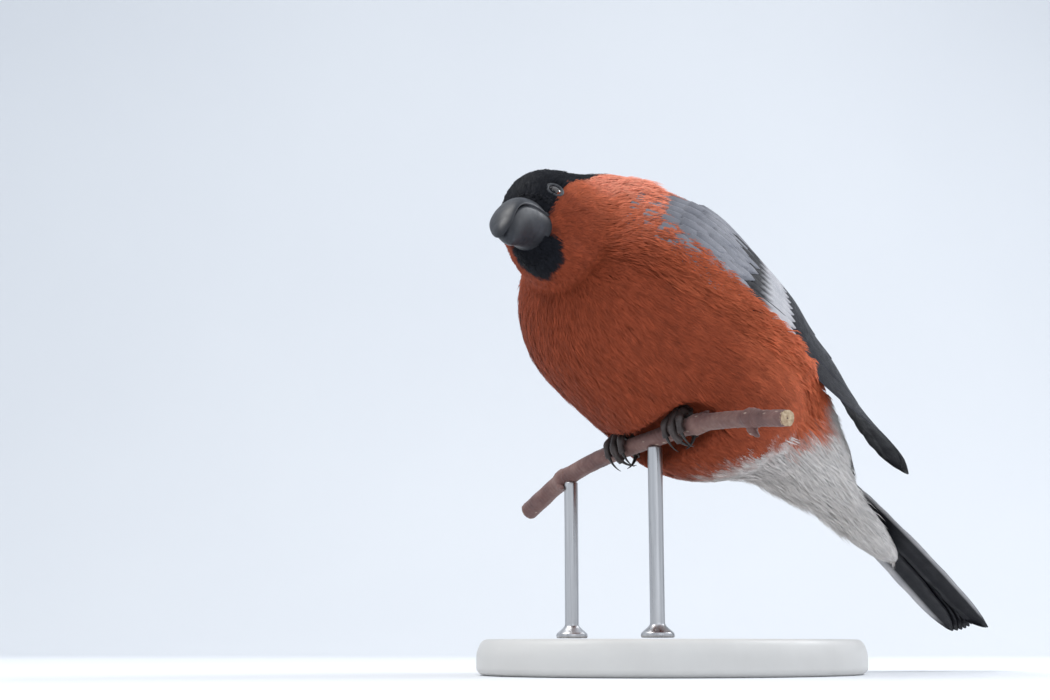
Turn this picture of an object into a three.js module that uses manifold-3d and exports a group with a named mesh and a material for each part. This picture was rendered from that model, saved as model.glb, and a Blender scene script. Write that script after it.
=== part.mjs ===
// A male bullfinch at life size, perched on a short cut length of twig above a plain oval base.
// Millimetres, +Z up. The bird faces -Y, its left side is +X, and the origin is the middle of
// the base's underside.
import * as THREE from "three";
import { mergeVertices } from "three/addons/utils/BufferGeometryUtils.js";
import Module from "manifold-3d";

const wasm = await Module();
wasm.setup();

// Driving dimensions

const GAP = 0.3; // left between neighbouring pieces
const SIDES = [1, -1]; // left, right

const PERCH = new THREE.Vector3(0, -6, 47); // the twig's centre between the feet
const TWIG_RADIUS = 1.75;

const BODY_PITCH = 38; // degrees, head up
const BODY_LEAN = 7; // degrees, left side up, as the twig slopes
const BODY_CENTRE = new THREE.Vector3(-0.5, -1.5, 73.5);

const HEAD_CENTRE = new THREE.Vector3(2.7, -32.2, 87.7);
const HEAD_YAW = 24; // degrees towards the bird's left
const HEAD_PITCH = -8;
const HEAD_TILT = 22; // degrees, left side up

const BILL_LENGTH = 11.6;
const BILL_WIDTH = 9.8;
const BILL_DEPTH = 9.9; // at the feathers, both mandibles
const EYE_RADIUS = 2.6;
const WING_LENGTH = 92;
const TAIL_LENGTH = 70;
const VANE_THICKNESS = 0.55;

const BASE_LENGTH = 84;
const BASE_WIDTH = 70;
const BASE_HEIGHT = 7;
const ROD_RADIUS = 1.5;

const rad = THREE.MathUtils.degToRad;
const lerp = THREE.MathUtils.lerp;
const vec = (x, y, z) => new THREE.Vector3(x, y, z);

// Closed meshes and solids

// Rings of points with the same count become one closed skin, with a fan over each end. turned
// names the strips between rings whose squares are split along their other diagonal.
function skin(rings, turned = []) {
  const count = rings[0].length;
  const points = rings.flat();
  const faces = [];
  for (let i = 0; i + 1 < rings.length; i++) {
    for (let j = 0; j < count; j++) {
      const a = i * count + j;
      const b = i * count + ((j + 1) % count);
      if (turned.includes(j)) {
        faces.push([a, b, a + count], [b, b + count, a + count]);
      } else {
        faces.push([a, b, b + count], [a, b + count, a + count]);
      }
    }
  }
  for (const [start, reversed] of [
    [0, true],
    [(rings.length - 1) * count, false],
  ]) {
    const middle = points.length;
    const ring = points.slice(start, start + count);
    const centre = vec(0, 0, 0);
    ring.forEach((p) => centre.addScaledVector(p, 1 / count));
    points.push(centre);
    for (let j = 0; j < count; j++) {
      const a = start + j;
      const b = start + ((j + 1) % count);
      faces.push(reversed ? [b, a, middle] : [a, b, middle]);
    }
  }
  return { points, faces };
}

function solidOf({ points, faces }) {
  let volume = 0;
  for (const [a, b, c] of faces) {
    volume += points[a].dot(points[b].clone().cross(points[c]));
  }
  const facing = volume < 0 ? faces.map(([a, b, c]) => [a, c, b]) : faces;
  const geometry = new THREE.BufferGeometry().setFromPoints(points);
  geometry.setIndex(facing.flat());
  return solidOfGeometry(geometry);
}

function solidOfGeometry(geometry) {
  const bare = geometry.clone();
  bare.deleteAttribute("normal");
  bare.deleteAttribute("uv");
  const merged = mergeVertices(bare, 1e-4);
  return new wasm.Manifold(
    new wasm.Mesh({
      numProp: 3,
      vertProperties: new Float32Array(merged.attributes.position.array),
      triVerts: new Uint32Array(merged.index.array),
    }),
  );
}

const union = (solids) => solids.reduce((whole, s) => whole.add(s));

// The largest closed surface of a solid: scraps that a cut leaves are dropped.
function largest(solid) {
  const bodies = solid.decompose();
  return bodies.reduce((best, s) => (s.volume() > best.volume() ? s : best));
}

// A solid's triangles with their corners on a fine grid, so that none nearly meet, and without
// the slivers whose corners fall together.
function geometryOf(solid) {
  const GRID = 0.002;
  const { vertProperties, triVerts, numProp } = solid.getMesh();
  const corner = (i) =>
    vec(...vertProperties.subarray(i * numProp, i * numProp + 3))
      .divideScalar(GRID)
      .round()
      .multiplyScalar(GRID);
  const corners = [];
  for (let i = 0; i < triVerts.length; i += 3) {
    const [a, b, c] = [...triVerts.subarray(i, i + 3)].map(corner);
    if (!a.equals(b) && !b.equals(c) && !c.equals(a)) corners.push(a, b, c);
  }
  return new THREE.BufferGeometry().setFromPoints(corners);
}

// A node is the one surface that encloses the most, also once corners that nearly meet are one.
function meshOf(name, solid, material) {
  let body = largest(solid);
  for (let pass = 0; pass < 3; pass++) {
    body = largest(solidOfGeometry(geometryOf(body)));
  }
  const geometry = geometryOf(body);
  geometry.computeVertexNormals();
  const mesh = new THREE.Mesh(geometry, material);
  mesh.name = name;
  return mesh;
}

// A round tube through the points of a path, its radius given along it from 0 to 1.
function tube(path, radiusAt, { steps = 8, sides = 8, flatten = 1 } = {}) {
  const curve = path.length > 2 ? new THREE.CatmullRomCurve3(path) : new THREE.LineCurve3(...path);
  const frames = curve.computeFrenetFrames(steps, false);
  const rings = [];
  for (let i = 0; i <= steps; i++) {
    const centre = curve.getPointAt(i / steps);
    const radius = radiusAt(i / steps);
    const ring = [];
    for (let j = 0; j < sides; j++) {
      const angle = (2 * Math.PI * j) / sides;
      ring.push(
        centre
          .clone()
          .addScaledVector(frames.normals[i], radius * Math.cos(angle))
          .addScaledVector(frames.binormals[i], radius * flatten * Math.sin(angle)),
      );
    }
    rings.push(ring);
  }
  return solidOf(skin(rings));
}

// The bird's frames

// In the body frame, X is the bird's left, -Y points at the head along the spine, Z is dorsal.
const bodyMatrix = new THREE.Matrix4()
  .makeTranslation(BODY_CENTRE)
  .multiply(new THREE.Matrix4().makeRotationY(-rad(BODY_LEAN)))
  .multiply(new THREE.Matrix4().makeRotationX(-rad(BODY_PITCH)));
const toBody = bodyMatrix.clone().invert();

// In the head frame, X is the head's left, -Y points along the bill, Z is the crown.
const headMatrix = new THREE.Matrix4()
  .makeTranslation(HEAD_CENTRE)
  .multiply(new THREE.Matrix4().makeRotationZ(rad(HEAD_YAW)))
  .multiply(new THREE.Matrix4().makeRotationX(-rad(HEAD_PITCH)))
  .multiply(new THREE.Matrix4().makeRotationY(-rad(HEAD_TILT)));
const headToBody = toBody.clone().multiply(headMatrix);

const inBody = (points) => points.map((p) => p.clone().applyMatrix4(headToBody));

// Flesh and coat: one smooth body of blended ellipsoids, parted by thin cuts

const blobs = [
  // frame, blend with the ones before, centre, radii
  ["body", 7, vec(0, -7, -3), vec(24.4, 23.5, 23.5)], // breast
  ["body", 7, vec(0, 12, -3.5), vec(24, 26, 22.5)], // belly
  ["body", 6, vec(0, -2, 4.6), vec(18, 28, 12.2)], // mantle
  ["body", 7, vec(0, 34, 1), vec(13, 25, 10.5)], // rump and vent
  ["body", 4, vec(-0.6, 56, -0.4), vec(6.4, 24, 3.2)], // undertail coverts
  ["body", 6, vec(0, -21, 2), vec(13.5, 14, 12.5)], // nape
  ["head", 5, vec(0, 7.5, -1), vec(9.5, 9.5, 9.5)], // back of the head
  ["head", 5, vec(0, 0.5, 1.2), vec(9.2, 11.2, 10.6)], // skull
  ["head", 3, vec(0, -6, -0.5), vec(6.5, 6.2, 6.6)], // lores and forehead
  ["head", 3, vec(0, -3, -6), vec(6.6, 7.5, 5.6)], // chin
  ...SIDES.map((side) => ["head", 3, vec(side * 4.2, 1.5, -3.2), vec(5.6, 8, 6.6)]), // cheeks
].map(([frame, blend, centre, radii]) => ({
  blend,
  radii,
  toBlob: new THREE.Matrix4()
    .makeTranslation(centre)
    .premultiply(frame === "head" ? headToBody : new THREE.Matrix4())
    .invert(),
}));

// Roughly the distance outside the coat, negative inside it.
function coatField(point) {
  let field = Infinity;
  for (const { radii, blend, toBlob } of blobs) {
    const p = point.clone().applyMatrix4(toBlob).divide(radii);
    const reach = p.length();
    const slope = p.divide(radii).length();
    const distance = slope > 1e-9 ? (reach * (reach - 1)) / slope : -Math.min(radii.x, radii.y, radii.z);
    const near = Math.max(blend - Math.abs(field - distance), 0);
    field = Math.min(field, distance) - (Number.isFinite(near) ? near ** 2 / (4 * blend) : 0);
  }
  return field;
}

// Walks from inside the coat to where the field first reaches a level.
function castOut(from, direction, level) {
  let t = 0;
  for (let step = 0; step < 300; step++) {
    const field = coatField(from.clone().addScaledVector(direction, t)) - level;
    if (field > -0.004) break;
    t += Math.min(0.8, Math.max(0.01, -0.6 * field));
  }
  return from.clone().addScaledVector(direction, t);
}

// The coat's outward direction at a place on it.
function outward(place) {
  const step = 0.05;
  const slope = ["x", "y", "z"].map((axis) => {
    const ahead = place.clone();
    ahead[axis] += step;
    return coatField(ahead) - coatField(place);
  });
  return vec(...slope).normalize();
}

const COAT_SIDES = 32;
const FAN_FROM = -16; // along the spine, where the rings start to fan out to the head
const VENT_AT = 62; // along the spine, where they start to close round the last covert
const COVERT_LEVEL = -0.6; // height of the undertail coverts' middle there

// Rings round the spine, fanned out at the head and closed at the tail.
function coatRings() {
  const crownWay = vec(0, -1, 0);
  const billWay = vec(0, -13, -1).applyMatrix4(headToBody).sub(vec(0, FAN_FROM, 0)).normalize();
  const rings = [];
  const addRing = (from, way, open) => {
    const across = vec(1, 0, 0).addScaledVector(way, -way.x).normalize();
    const over = way.clone().cross(across).normalize();
    rings.push({ from, way, across, over, open });
  };
  const headSteps = 13;
  const breastSteps = 6;
  const headAngle = 42;
  for (let i = 0; i <= headSteps + breastSteps; i++) {
    const open =
      i <= headSteps
        ? lerp(0.8, headAngle, i / headSteps)
        : lerp(headAngle, 90, (i - headSteps) / breastSteps);
    const turn = THREE.MathUtils.smoothstep(open, 20, 88);
    addRing(vec(0, FAN_FROM, 0), billWay.clone().lerp(crownWay, turn).normalize(), open);
  }
  const trunkSteps = 16;
  for (let i = 1; i <= trunkSteps; i++) {
    const y = lerp(FAN_FROM, VENT_AT, i / trunkSteps);
    const sink = THREE.MathUtils.smoothstep(y, 30, VENT_AT) * COVERT_LEVEL;
    addRing(vec(0, y, sink), crownWay, 90);
  }
  for (const open of [108, 128, 146, 160, 171, 179]) {
    addRing(vec(0, VENT_AT, COVERT_LEVEL), crownWay, open);
  }
  return rings;
}

function coatSolid(level) {
  const rings = coatRings().map(({ from, way, across, over, open }) => {
    const ring = [];
    for (let j = 0; j < COAT_SIDES; j++) {
      const angle = (2 * Math.PI * j) / COAT_SIDES;
      const direction = way
        .clone()
        .multiplyScalar(Math.cos(rad(open)))
        .addScaledVector(across, Math.sin(rad(open)) * Math.cos(angle))
        .addScaledVector(over, Math.sin(rad(open)) * Math.sin(angle));
      ring.push(castOut(from, direction, level));
    }
    return ring;
  });
  return solidOf(skin(rings));
}

// The part of a solid on the far side of a plane, and the part on the near side, a gap apart.
function parted(solid, normal, point) {
  const n = normal.clone().normalize();
  const at = n.dot(point);
  return [
    solid.trimByPlane(n.toArray(), at + GAP / 2),
    solid.trimByPlane(n.clone().negate().toArray(), -(at - GAP / 2)),
  ];
}

// Feather vanes on a chart: a curved sheet with one line along it

// lines: points down the sheet's middle; normals: its outward direction at each of them.
class Chart {
  constructor(line, normals, curl) {
    this.curve = new THREE.CatmullRomCurve3(line, false, "centripetal");
    this.normals = normals;
    this.length = this.curve.getLength();
    this.curl = curl;
  }
  frame(along) {
    const t = THREE.MathUtils.clamp(along / this.length, 0, 1);
    const centre = this.curve.getPointAt(t);
    const tangent = this.curve.getTangentAt(t);
    centre.addScaledVector(tangent, along - t * this.length);
    const place = t * (this.normals.length - 1);
    const k = Math.min(Math.floor(place), this.normals.length - 2);
    const normal = this.normals[k].clone().lerp(this.normals[k + 1], place - k);
    normal.addScaledVector(tangent, -normal.dot(tangent)).normalize();
    const across = normal.clone().cross(tangent);
    return { centre, normal, across, curl: lerp(this.curl[0], this.curl[1], t) };
  }
  // along and across the sheet, and height over it
  point(along, across, height) {
    const f = this.frame(along);
    const bend = across / f.curl;
    return f.centre
      .clone()
      .addScaledVector(f.across, (f.curl + height) * Math.sin(bend))
      .addScaledVector(f.normal, (f.curl + height) * Math.cos(bend) - f.curl);
  }
}

const UPPER_FACE = 2; // a vane's upper strip, split as its lower one is

// One closed vane. root and tip are [along, across] on the chart; bow pushes its middle across,
// and tilt raises the edge on the side of more across.
function vane(chart, { root, tip, width, height, tilt, bow = 0, steps = 6 }) {
  const rings = [];
  for (let i = 0; i <= steps; i++) {
    const t = (i / steps) ** 0.8;
    const along = lerp(root[0], tip[0], t);
    const middle = lerp(root[1], tip[1], t) + bow * 4 * t * (1 - t);
    const taper = i === steps ? 0.35 : 1;
    const half = (width / 2) * vaneOutline(t) * taper;
    const thin = VANE_THICKNESS / 2;
    const rise = tilt * half;
    rings.push([
      chart.point(along, middle - half, height - rise - thin),
      chart.point(along, middle + half, height + rise - thin),
      chart.point(along, middle + half, height + rise + thin),
      chart.point(along, middle - half, height - rise + thin),
    ]);
  }
  return solidOf(skin(rings, [UPPER_FACE]));
}

// Half width of a flight feather along its length: narrow root, broad middle, rounded tip.
const vaneOutline = (t) => lerp(0.5, 1, THREE.MathUtils.smoothstep(t, 0, 0.45)) * Math.sqrt(1 - 0.8 * t ** 7);

// Wings

// A place on the coat at a distance along the spine and an angle up from the side, lifted off
// it, with the coat's own outward direction there.
function onCoat(side, along, angle, lift) {
  const from = vec(0, along, 2);
  const place = castOut(from, vec(side * Math.cos(rad(angle)), 0, Math.sin(rad(angle))), 0);
  const normal = outward(place);
  return { place: place.addScaledVector(normal, lift), normal };
}

// The wing's middle line lies on the coat at these distances along the spine and angles up.
const WING_RESTS = [
  [-24, -2],
  [-4, 6],
  [20, 20],
  [44, 34],
];
const WING_LEAVES = [32, 60]; // along the wing, where it comes off the coat
const COAT_REACH = 23; // from the spine to the coat, for the angle that a width spans

function wingAngle(along) {
  const k = Math.max(0, WING_RESTS.findLastIndex(([y]) => y <= along));
  const [[y0, a0], [y1, a1]] = k + 1 < WING_RESTS.length ? WING_RESTS.slice(k) : WING_RESTS.slice(-2);
  return lerp(a0, a1, (along - y0) / (y1 - y0));
}

// A folded wing's sheet: it hugs the coat at the front and runs out free to its tip.
function wingChart(side) {
  const rests = WING_RESTS.slice(0, 3).map(([y, angle]) => onCoat(side, y, angle, 0));
  const free = new Chart(
    [...rests.map((rest) => rest.place), vec(side * 9.2 + 0.3, 62, 10 - side * 0.2)],
    [...rests.map((rest) => rest.normal), vec(side * 0.12, 0.05, 0.99)],
    [20, 44],
  );
  const point = (along, across, height) => {
    const far = free.point(along, across, height);
    const hug = 1 - THREE.MathUtils.smoothstep(along, ...WING_LEAVES);
    if (hug === 0) return far;
    const y = WING_RESTS[0][0] + 0.97 * along + 0.3 * side;
    const angle = wingAngle(y) + THREE.MathUtils.radToDeg((side * across) / COAT_REACH);
    return far.lerp(onCoat(side, y, angle, height).place, hug);
  };
  return { point };
}

const PRIMARIES = 6;
const SECONDARIES = 3;
const TERTIALS = 3;
const GREATER_COVERTS = 6;
const PRIMARY_COVERTS = 2;

function wingSolid(side, coat) {
  const chart = wingChart(side);
  // across is dorsal on the left wing, so it is turned over on the right one
  const add = (spec) =>
    vane(chart, {
      ...spec,
      root: [spec.root[0], side * spec.root[1]],
      tip: [spec.tip[0], side * spec.tip[1]],
      bow: side * (spec.bow ?? 0),
      tilt: side * -0.055,
    });
  const pieces = [];
  for (let i = 0; i < PRIMARIES; i++) {
    const drop = [0, 1.2, 3.6, 8, 13, 18][i];
    pieces.push(
      add({
        root: [24 + i, -8 + 0.6 * i],
        tip: [WING_LENGTH - drop, -2.4 + 1.5 * i],
        width: 8.8,
        height: 0.47 + 0.16 * i,
        bow: -1.2,
        steps: 5,
      }),
    );
  }
  for (let i = 0; i < SECONDARIES; i++) {
    pieces.push(
      add({
        root: [22, -4 + 1.4 * i],
        tip: [70 - 1.8 * i, -0.4 + 1.4 * i],
        width: 8,
        height: 1.13 + 0.17 * i,
        bow: -0.5,
        steps: 5,
      }),
    );
  }
  for (let i = 0; i < TERTIALS; i++) {
    pieces.push(
      add({
        root: [20, 0.6 + 1.4 * i],
        tip: [66 - 7 * i, 2 + 1.2 * i],
        width: 8,
        height: 1.45 + 0.15 * i,
        steps: 5,
      }),
    );
  }
  for (let i = 0; i < GREATER_COVERTS; i++) {
    pieces.push(
      add({
        root: [17 - 0.4 * i, -7.5 + 2.2 * i],
        tip: [41 - 1.1 * i, -8 + 2.3 * i],
        width: 4.8,
        height: 1.35 + 0.12 * i,
        steps: 4,
      }),
    );
  }
  for (let i = 0; i < PRIMARY_COVERTS; i++) {
    pieces.push(
      add({
        root: [15, -8.5 + i],
        tip: [46 - 5 * i, -8.4 + 1.1 * i],
        width: 4,
        height: 1.15 + 0.2 * i,
        steps: 4,
      }),
    );
  }
  pieces.push(shoulder(chart, side));
  return largest(union(pieces).subtract(coat));
}

// The padded fore part of the wing, under its small coverts, sunk well into the coat.
function shoulder(chart, side) {
  const SHOULDER_LENGTH = 34;
  const SHOULDER_WIDTH = 17;
  const SHOULDER_LIFT = 2.1;
  const SHOULDER_DEPTH = 3;
  const steps = 8;
  const points = 12;
  const rings = [];
  for (let i = 0; i <= steps; i++) {
    const t = i / steps;
    const swell = Math.sin(Math.PI * lerp(0.05, 0.94, t)) ** 0.5;
    const ring = [];
    for (let j = 0; j < points; j++) {
      const angle = (2 * Math.PI * j) / points;
      const across = side * (-1 + (SHOULDER_WIDTH / 2) * swell * Math.cos(angle));
      const rise = Math.sin(angle) > 0 ? SHOULDER_LIFT : SHOULDER_DEPTH;
      ring.push(chart.point(lerp(-3, SHOULDER_LENGTH - 3, t), across, rise * swell * Math.sin(angle)));
    }
    rings.push(ring);
  }
  return solidOf(skin(rings));
}

// Tail

const TAIL_FEATHERS = 12;

function tailSolid(coat) {
  const chart = new Chart(
    [vec(0, 40, 3), vec(0, 75, 3.6), vec(-2.5, 40 + TAIL_LENGTH, 4.6)],
    [vec(0, 0, 1), vec(0, 0, 1)],
    [22, 60],
  );
  const pieces = [];
  for (let i = 0; i < TAIL_FEATHERS; i++) {
    const k = i - (TAIL_FEATHERS - 1) / 2;
    const out = Math.abs(k);
    pieces.push(
      vane(chart, {
        root: [0, 0.55 * k],
        tip: [TAIL_LENGTH - 1.6 + 0.5 * out - 0.1 * out ** 2, 0.9 * k],
        width: 7,
        height: 0.36 * (2.75 - out),
        bow: 0.06 * k,
        tilt: 0.05 * Math.sign(k),
        steps: 6,
      }),
    );
  }
  return largest(union(pieces).subtract(coat));
}

// Head: eyes, lids and bill

const EYE_SINK = 2.45; // from the coat in to the eye's centre

// Where an eye sits: a place on the side of the head, and the head's outward direction there.
function eyeSeat(side) {
  const from = vec(0, -5.4, 3.4).applyMatrix4(headToBody);
  const way = vec(side, -0.22, 0.04).applyMatrix4(headToBody).sub(vec(0, 0, 0).applyMatrix4(headToBody));
  const place = castOut(from, way.normalize(), 0);
  return { place, normal: outward(place) };
}
const seats = SIDES.map(eyeSeat);

const eyeSolid = ({ place, normal }, grow) => {
  const ball = new THREE.SphereGeometry(EYE_RADIUS + grow, 14, 10);
  const centre = place.clone().addScaledVector(normal, -EYE_SINK);
  ball.translate(centre.x, centre.y, centre.z);
  return solidOfGeometry(ball);
};

// A low ring of bare lid that folds over the eye's edge, sunk into the head.
function lidSolid({ place, normal }) {
  const LID_RING = 2;
  const LID_THICKNESS = 0.55;
  const LID_SINK = 0.15;
  const ring = new THREE.TorusGeometry(LID_RING, LID_THICKNESS, 6, 20);
  ring.applyQuaternion(new THREE.Quaternion().setFromUnitVectors(vec(0, 0, 1), normal));
  const centre = place.clone().addScaledVector(normal, -LID_SINK);
  ring.translate(centre.x, centre.y, centre.z);
  return solidOfGeometry(ring);
}

const BILL_BASE = -8.5; // along the head frame's Y, inside the feathers
const BILL_REACH = BILL_LENGTH + 3;
const LOWER_SHARE = 0.91; // how far along the upper mandible the lower one reaches
const EDGE_ARCH = 2.6; // how far the line of the mouth bows up from the bill's middle line

// Heights along the bill, from its base at 0 to the tip at 1: its bent middle line, the cutting
// edges that arch over it, and the ridges above and below it.
const billLine = (t) => -2.3 + 1.5 * Math.sin(Math.PI * Math.min(1, t * 1.15)) - 2.4 * t ** 2;
const cuttingEdge = (t) => billLine(t) + EDGE_ARCH * Math.sin(Math.PI * t ** 1.6);
const culmen = (t) => billLine(t) + 0.3 + 0.545 * BILL_DEPTH * Math.sqrt(Math.max(0, 1 - t ** 2.3));
const keel = (t) => billLine(t * LOWER_SHARE) - 0.25 - 0.43 * BILL_DEPTH * Math.sqrt(Math.max(0, 1 - t ** 2.6));
const billWidth = (t) => (BILL_WIDTH / 2) * Math.sqrt(Math.max(0.0025, 1 - t ** 2.6)) * lerp(1, 0.9, t);

// The mandibles: which way they dome, their share of the bill's length, their ridge and width.
const UPPER = { way: 1, share: 1, ridge: culmen, narrowing: 1 };
const LOWER = { way: -1, share: LOWER_SHARE, ridge: keel, narrowing: 0.97 };

// A place on a mandible, at a share of its length and an angle from its left edge to its right.
function billPoint({ way, share, ridge, narrowing }, t, angle) {
  const edge = cuttingEdge(t * share) + (way * GAP) / 2;
  const dome = Math.sin(angle);
  return vec(
    narrowing * billWidth(t) * Math.cos(angle) * (1 - 0.12 * dome),
    BILL_BASE - BILL_REACH * share * t,
    lerp(edge, ridge(t), dome ** 0.85),
  );
}

// One mandible: rings across the bill, flat on the cutting edge and domed out to its ridge.
function mandible(shape) {
  const steps = 12;
  const points = 9;
  const rings = [];
  for (let i = 0; i <= steps; i++) {
    const t = (i / steps) ** 0.85;
    const ring = [];
    for (let j = 0; j < points; j++) {
      ring.push(billPoint(shape, t, (Math.PI * j) / (points - 1)));
    }
    rings.push(ring);
  }
  return solidOf(skin(rings.map(inBody)));
}

// A slit of a nostril on each side of the upper mandible, just clear of the forehead's feathers.
function nostrils() {
  const NOSTRIL = vec(0.4, 0.75, 0.5); // half sizes
  const NOSTRIL_AT = 0.36; // share of the bill's length
  const NOSTRIL_ANGLE = 52;
  const pits = SIDES.map((side) => {
    const angle = side > 0 ? NOSTRIL_ANGLE : 180 - NOSTRIL_ANGLE;
    const place = billPoint(UPPER, NOSTRIL_AT, rad(angle));
    const pit = new THREE.SphereGeometry(1, 8, 6);
    pit.scale(NOSTRIL.x, NOSTRIL.y, NOSTRIL.z);
    pit.translate(place.x, place.y, place.z);
    pit.applyMatrix4(headToBody);
    return solidOfGeometry(pit);
  });
  return union(pits);
}

// Twig, feet and stand

const twigPath = [
  vec(-46, 3, -11),
  vec(-30, 1.5, -5),
  vec(-16, 0.4, -2),
  vec(0, 0, 0),
  vec(16, -0.2, 1.7),
  vec(30, -1.2, 1),
  vec(43, -3, -0.6),
].map((p) => p.add(PERCH));
const twigCurve = new THREE.CatmullRomCurve3(twigPath, false, "centripetal");

function twigSolid(grow) {
  const steps = 26;
  const sides = 10;
  const radiusAt = (t) => {
    const knots = [0.16, 0.66, 0.86].reduce((sum, at) => sum + 0.45 * Math.exp(-(((t - at) / 0.018) ** 2)), 0);
    return TWIG_RADIUS * lerp(1.14, 0.88, t) + knots + grow;
  };
  return tube(twigPath, radiusAt, { steps, sides });
}

// A frame on the twig below a foot: X along the twig, Y back, Z up.
function twigFrame(x) {
  const t = (x - twigPath[0].x) / (twigPath.at(-1).x - twigPath[0].x);
  const point = twigCurve.getPoint(t);
  const along = twigCurve.getTangent(t);
  const back = vec(0, 1, 0).addScaledVector(along, -along.y).normalize();
  const up = along.clone().cross(back);
  return new THREE.Matrix4().makeBasis(along, back, up).setPosition(point);
}

const FOOT_SPREAD = 8.6;
const TOE_RADIUS = 0.85;
const toes = [
  // start across the foot, end across it, turn in degrees over the twig, radius
  { name: "inner", from: -0.6, to: -2.3, turn: 150, radius: 0.8 },
  { name: "middle", from: 0, to: 0.1, turn: 185, radius: 0.88 },
  { name: "outer", from: 0.6, to: 2.3, turn: 150, radius: 0.8 },
  { name: "hind", from: 0.1, to: 0.3, turn: -140, radius: 0.92 },
];
const CLAW_LENGTH = 4.4;

// A toe starts on top of the twig and wraps round it, with a claw that curls on past its end.
function toeSolid(frame, { from, to, turn, radius }) {
  const wrap = TWIG_RADIUS + GAP + TOE_RADIUS;
  const start = turn > 0 ? 62 : 112; // degrees from the twig's rear, measured over the top
  const place = (angle, across, out) =>
    vec(across, Math.cos(rad(angle)) * (wrap + out), Math.sin(rad(angle)) * (wrap + out)).applyMatrix4(frame);
  const toe = [0, 0.25, 0.5, 0.75, 1].map((t) =>
    place(start + turn * t, lerp(from, to, Math.min(1, 1.6 * t)), 0.5 * (1 - t) ** 2),
  );
  const pads = (t) => radius * (1 - 0.16 * t + 0.11 * Math.cos(2 * Math.PI * 3 * t));
  const clawTurn = Math.sign(turn) * 62;
  const claw = [-0.12, 0.3, 0.65, 1].map((t) =>
    place(start + turn + clawTurn * t, to, 0.05 + (CLAW_LENGTH * 0.3) * Math.max(0, t) ** 1.6),
  );
  return union([
    tube(toe, pads, { steps: 6, sides: 6 }),
    tube(claw, (t) => lerp(0.55, 0.1, t ** 0.8), { steps: 4, sides: 5, flatten: 0.75 }),
  ]);
}

const PALM_RADIUS = 1.25;
const SHANK_RADIUS = 1.05;

function footSolid(side, twig) {
  const frame = twigFrame(side * FOOT_SPREAD);
  const path = [vec(0, 1.9, 3.5), vec(0, 0.2, 3.6), vec(0, -1.2, 3.1)].map((p) => p.applyMatrix4(frame));
  const palm = tube(path, () => PALM_RADIUS, { steps: 3, sides: 8 });
  return union([palm, ...toes.map((toe) => toeSolid(frame, toe))]).subtract(twig);
}

// The shank goes from the foot up into the belly's feathers. Grown, it is the room for it,
// open towards the foot.
function shankSolid(side, grow = 0) {
  const SHANK_LENGTH = 7;
  const way = vec(-0.1 * side, 0.45, 0.88).normalize();
  const foot = vec(0, 1.6, 5.2).applyMatrix4(twigFrame(side * FOOT_SPREAD));
  const heel = foot.clone().addScaledVector(way, SHANK_LENGTH + 2 * grow);
  return tube([foot.addScaledVector(way, -7 * grow), heel], () => SHANK_RADIUS + grow, { steps: 1, sides: 10 });
}

function baseSolid() {
  const profile = [
    [0, 0],
    [0.97, 0],
    [1, 0.12],
    [1, 0.62],
    [0.975, 0.86],
    [0.94, 1],
    [0, 1],
  ].map(([r, z]) => new THREE.Vector2(r, z));
  const plate = new THREE.LatheGeometry(profile, 44).rotateX(Math.PI / 2);
  plate.scale(BASE_WIDTH / 2, BASE_LENGTH / 2, BASE_HEIGHT);
  return solidOfGeometry(plate);
}

const twigPoint = (x) => twigCurve.getPoint((x - twigPath[0].x) / (twigPath.at(-1).x - twigPath[0].x));
const RODS = { middle: 0.5, side: -29 }; // their places along X

// The room that a rod takes where it passes under the belly.
function rodRoom(x) {
  const top = twigPoint(x);
  return tube([vec(top.x, top.y, 0), top], () => ROD_RADIUS + GAP, { steps: 1, sides: 16 });
}

// A rod from the base up to the twig, with a small collar at its foot.
function rodSolid(x, twig) {
  const top = twigPoint(x);
  const height = top.z - BASE_HEIGHT - GAP;
  const profile = [
    [0, 0],
    [3.4, 0],
    [3.4, 0.9],
    [2.2, 1.9],
    [ROD_RADIUS, 2.3],
    [ROD_RADIUS, height],
    [0, height],
  ].map(([r, z]) => new THREE.Vector2(r, z));
  const rod = new THREE.LatheGeometry(profile, 16).rotateX(Math.PI / 2);
  rod.translate(top.x, top.y, BASE_HEIGHT + GAP);
  return solidOfGeometry(rod).subtract(twig);
}

// Materials

const material = (color, roughness, metalness = 0) =>
  new THREE.MeshStandardMaterial({ color, roughness, metalness });
const BLACK_CAP = material(0x14151a, 0.6);
const ORANGE = material(0xc8502c, 0.85);
const WHITE = material(0xddd8d2, 0.9);
const WING = material(0x4b4d52, 0.6);
const TAIL = material(0x17171b, 0.5);
const HORN = material(0x3d4046, 0.35);
const EYE = material(0x1a110c, 0.08);
const FOOT = material(0x2b2523, 0.6);
const BARK = material(0x7a5148, 0.75);
const STAND = material(0xd8d5cf, 0.5);
const ROD = material(0x9a9a9a, 0.3, 1);

// Assembly

const bird = new THREE.Group();
bird.applyMatrix4(bodyMatrix);

const invertedBody = toBody.toArray();
const footing = union([
  twigSolid(GAP),
  ...SIDES.map((side) => shankSolid(side, GAP)),
  rodRoom(RODS.middle),
  ...SIDES.map((side) => {
    const frame = twigFrame(side * FOOT_SPREAD);
    return tube(
      [vec(-3.6, 0.2, 0.4).applyMatrix4(frame), vec(3.6, 0.2, 0.4).applyMatrix4(frame)],
      () => TWIG_RADIUS + 2 * TOE_RADIUS + 1.5,
      { steps: 1, sides: 16 },
    );
  }),
]).transform(invertedBody);

const coat = coatSolid(0);
const grownCoat = coatSolid(GAP);

const bill = [mandible(UPPER).subtract(nostrils()), mandible(LOWER)];
const eyes = seats.map((seat) => eyeSolid(seat, 0));
const sockets = union(seats.map((seat) => eyeSolid(seat, GAP)));
const wings = SIDES.map((side) => wingSolid(side, grownCoat));
const dressed = coat.subtract(footing);

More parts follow.
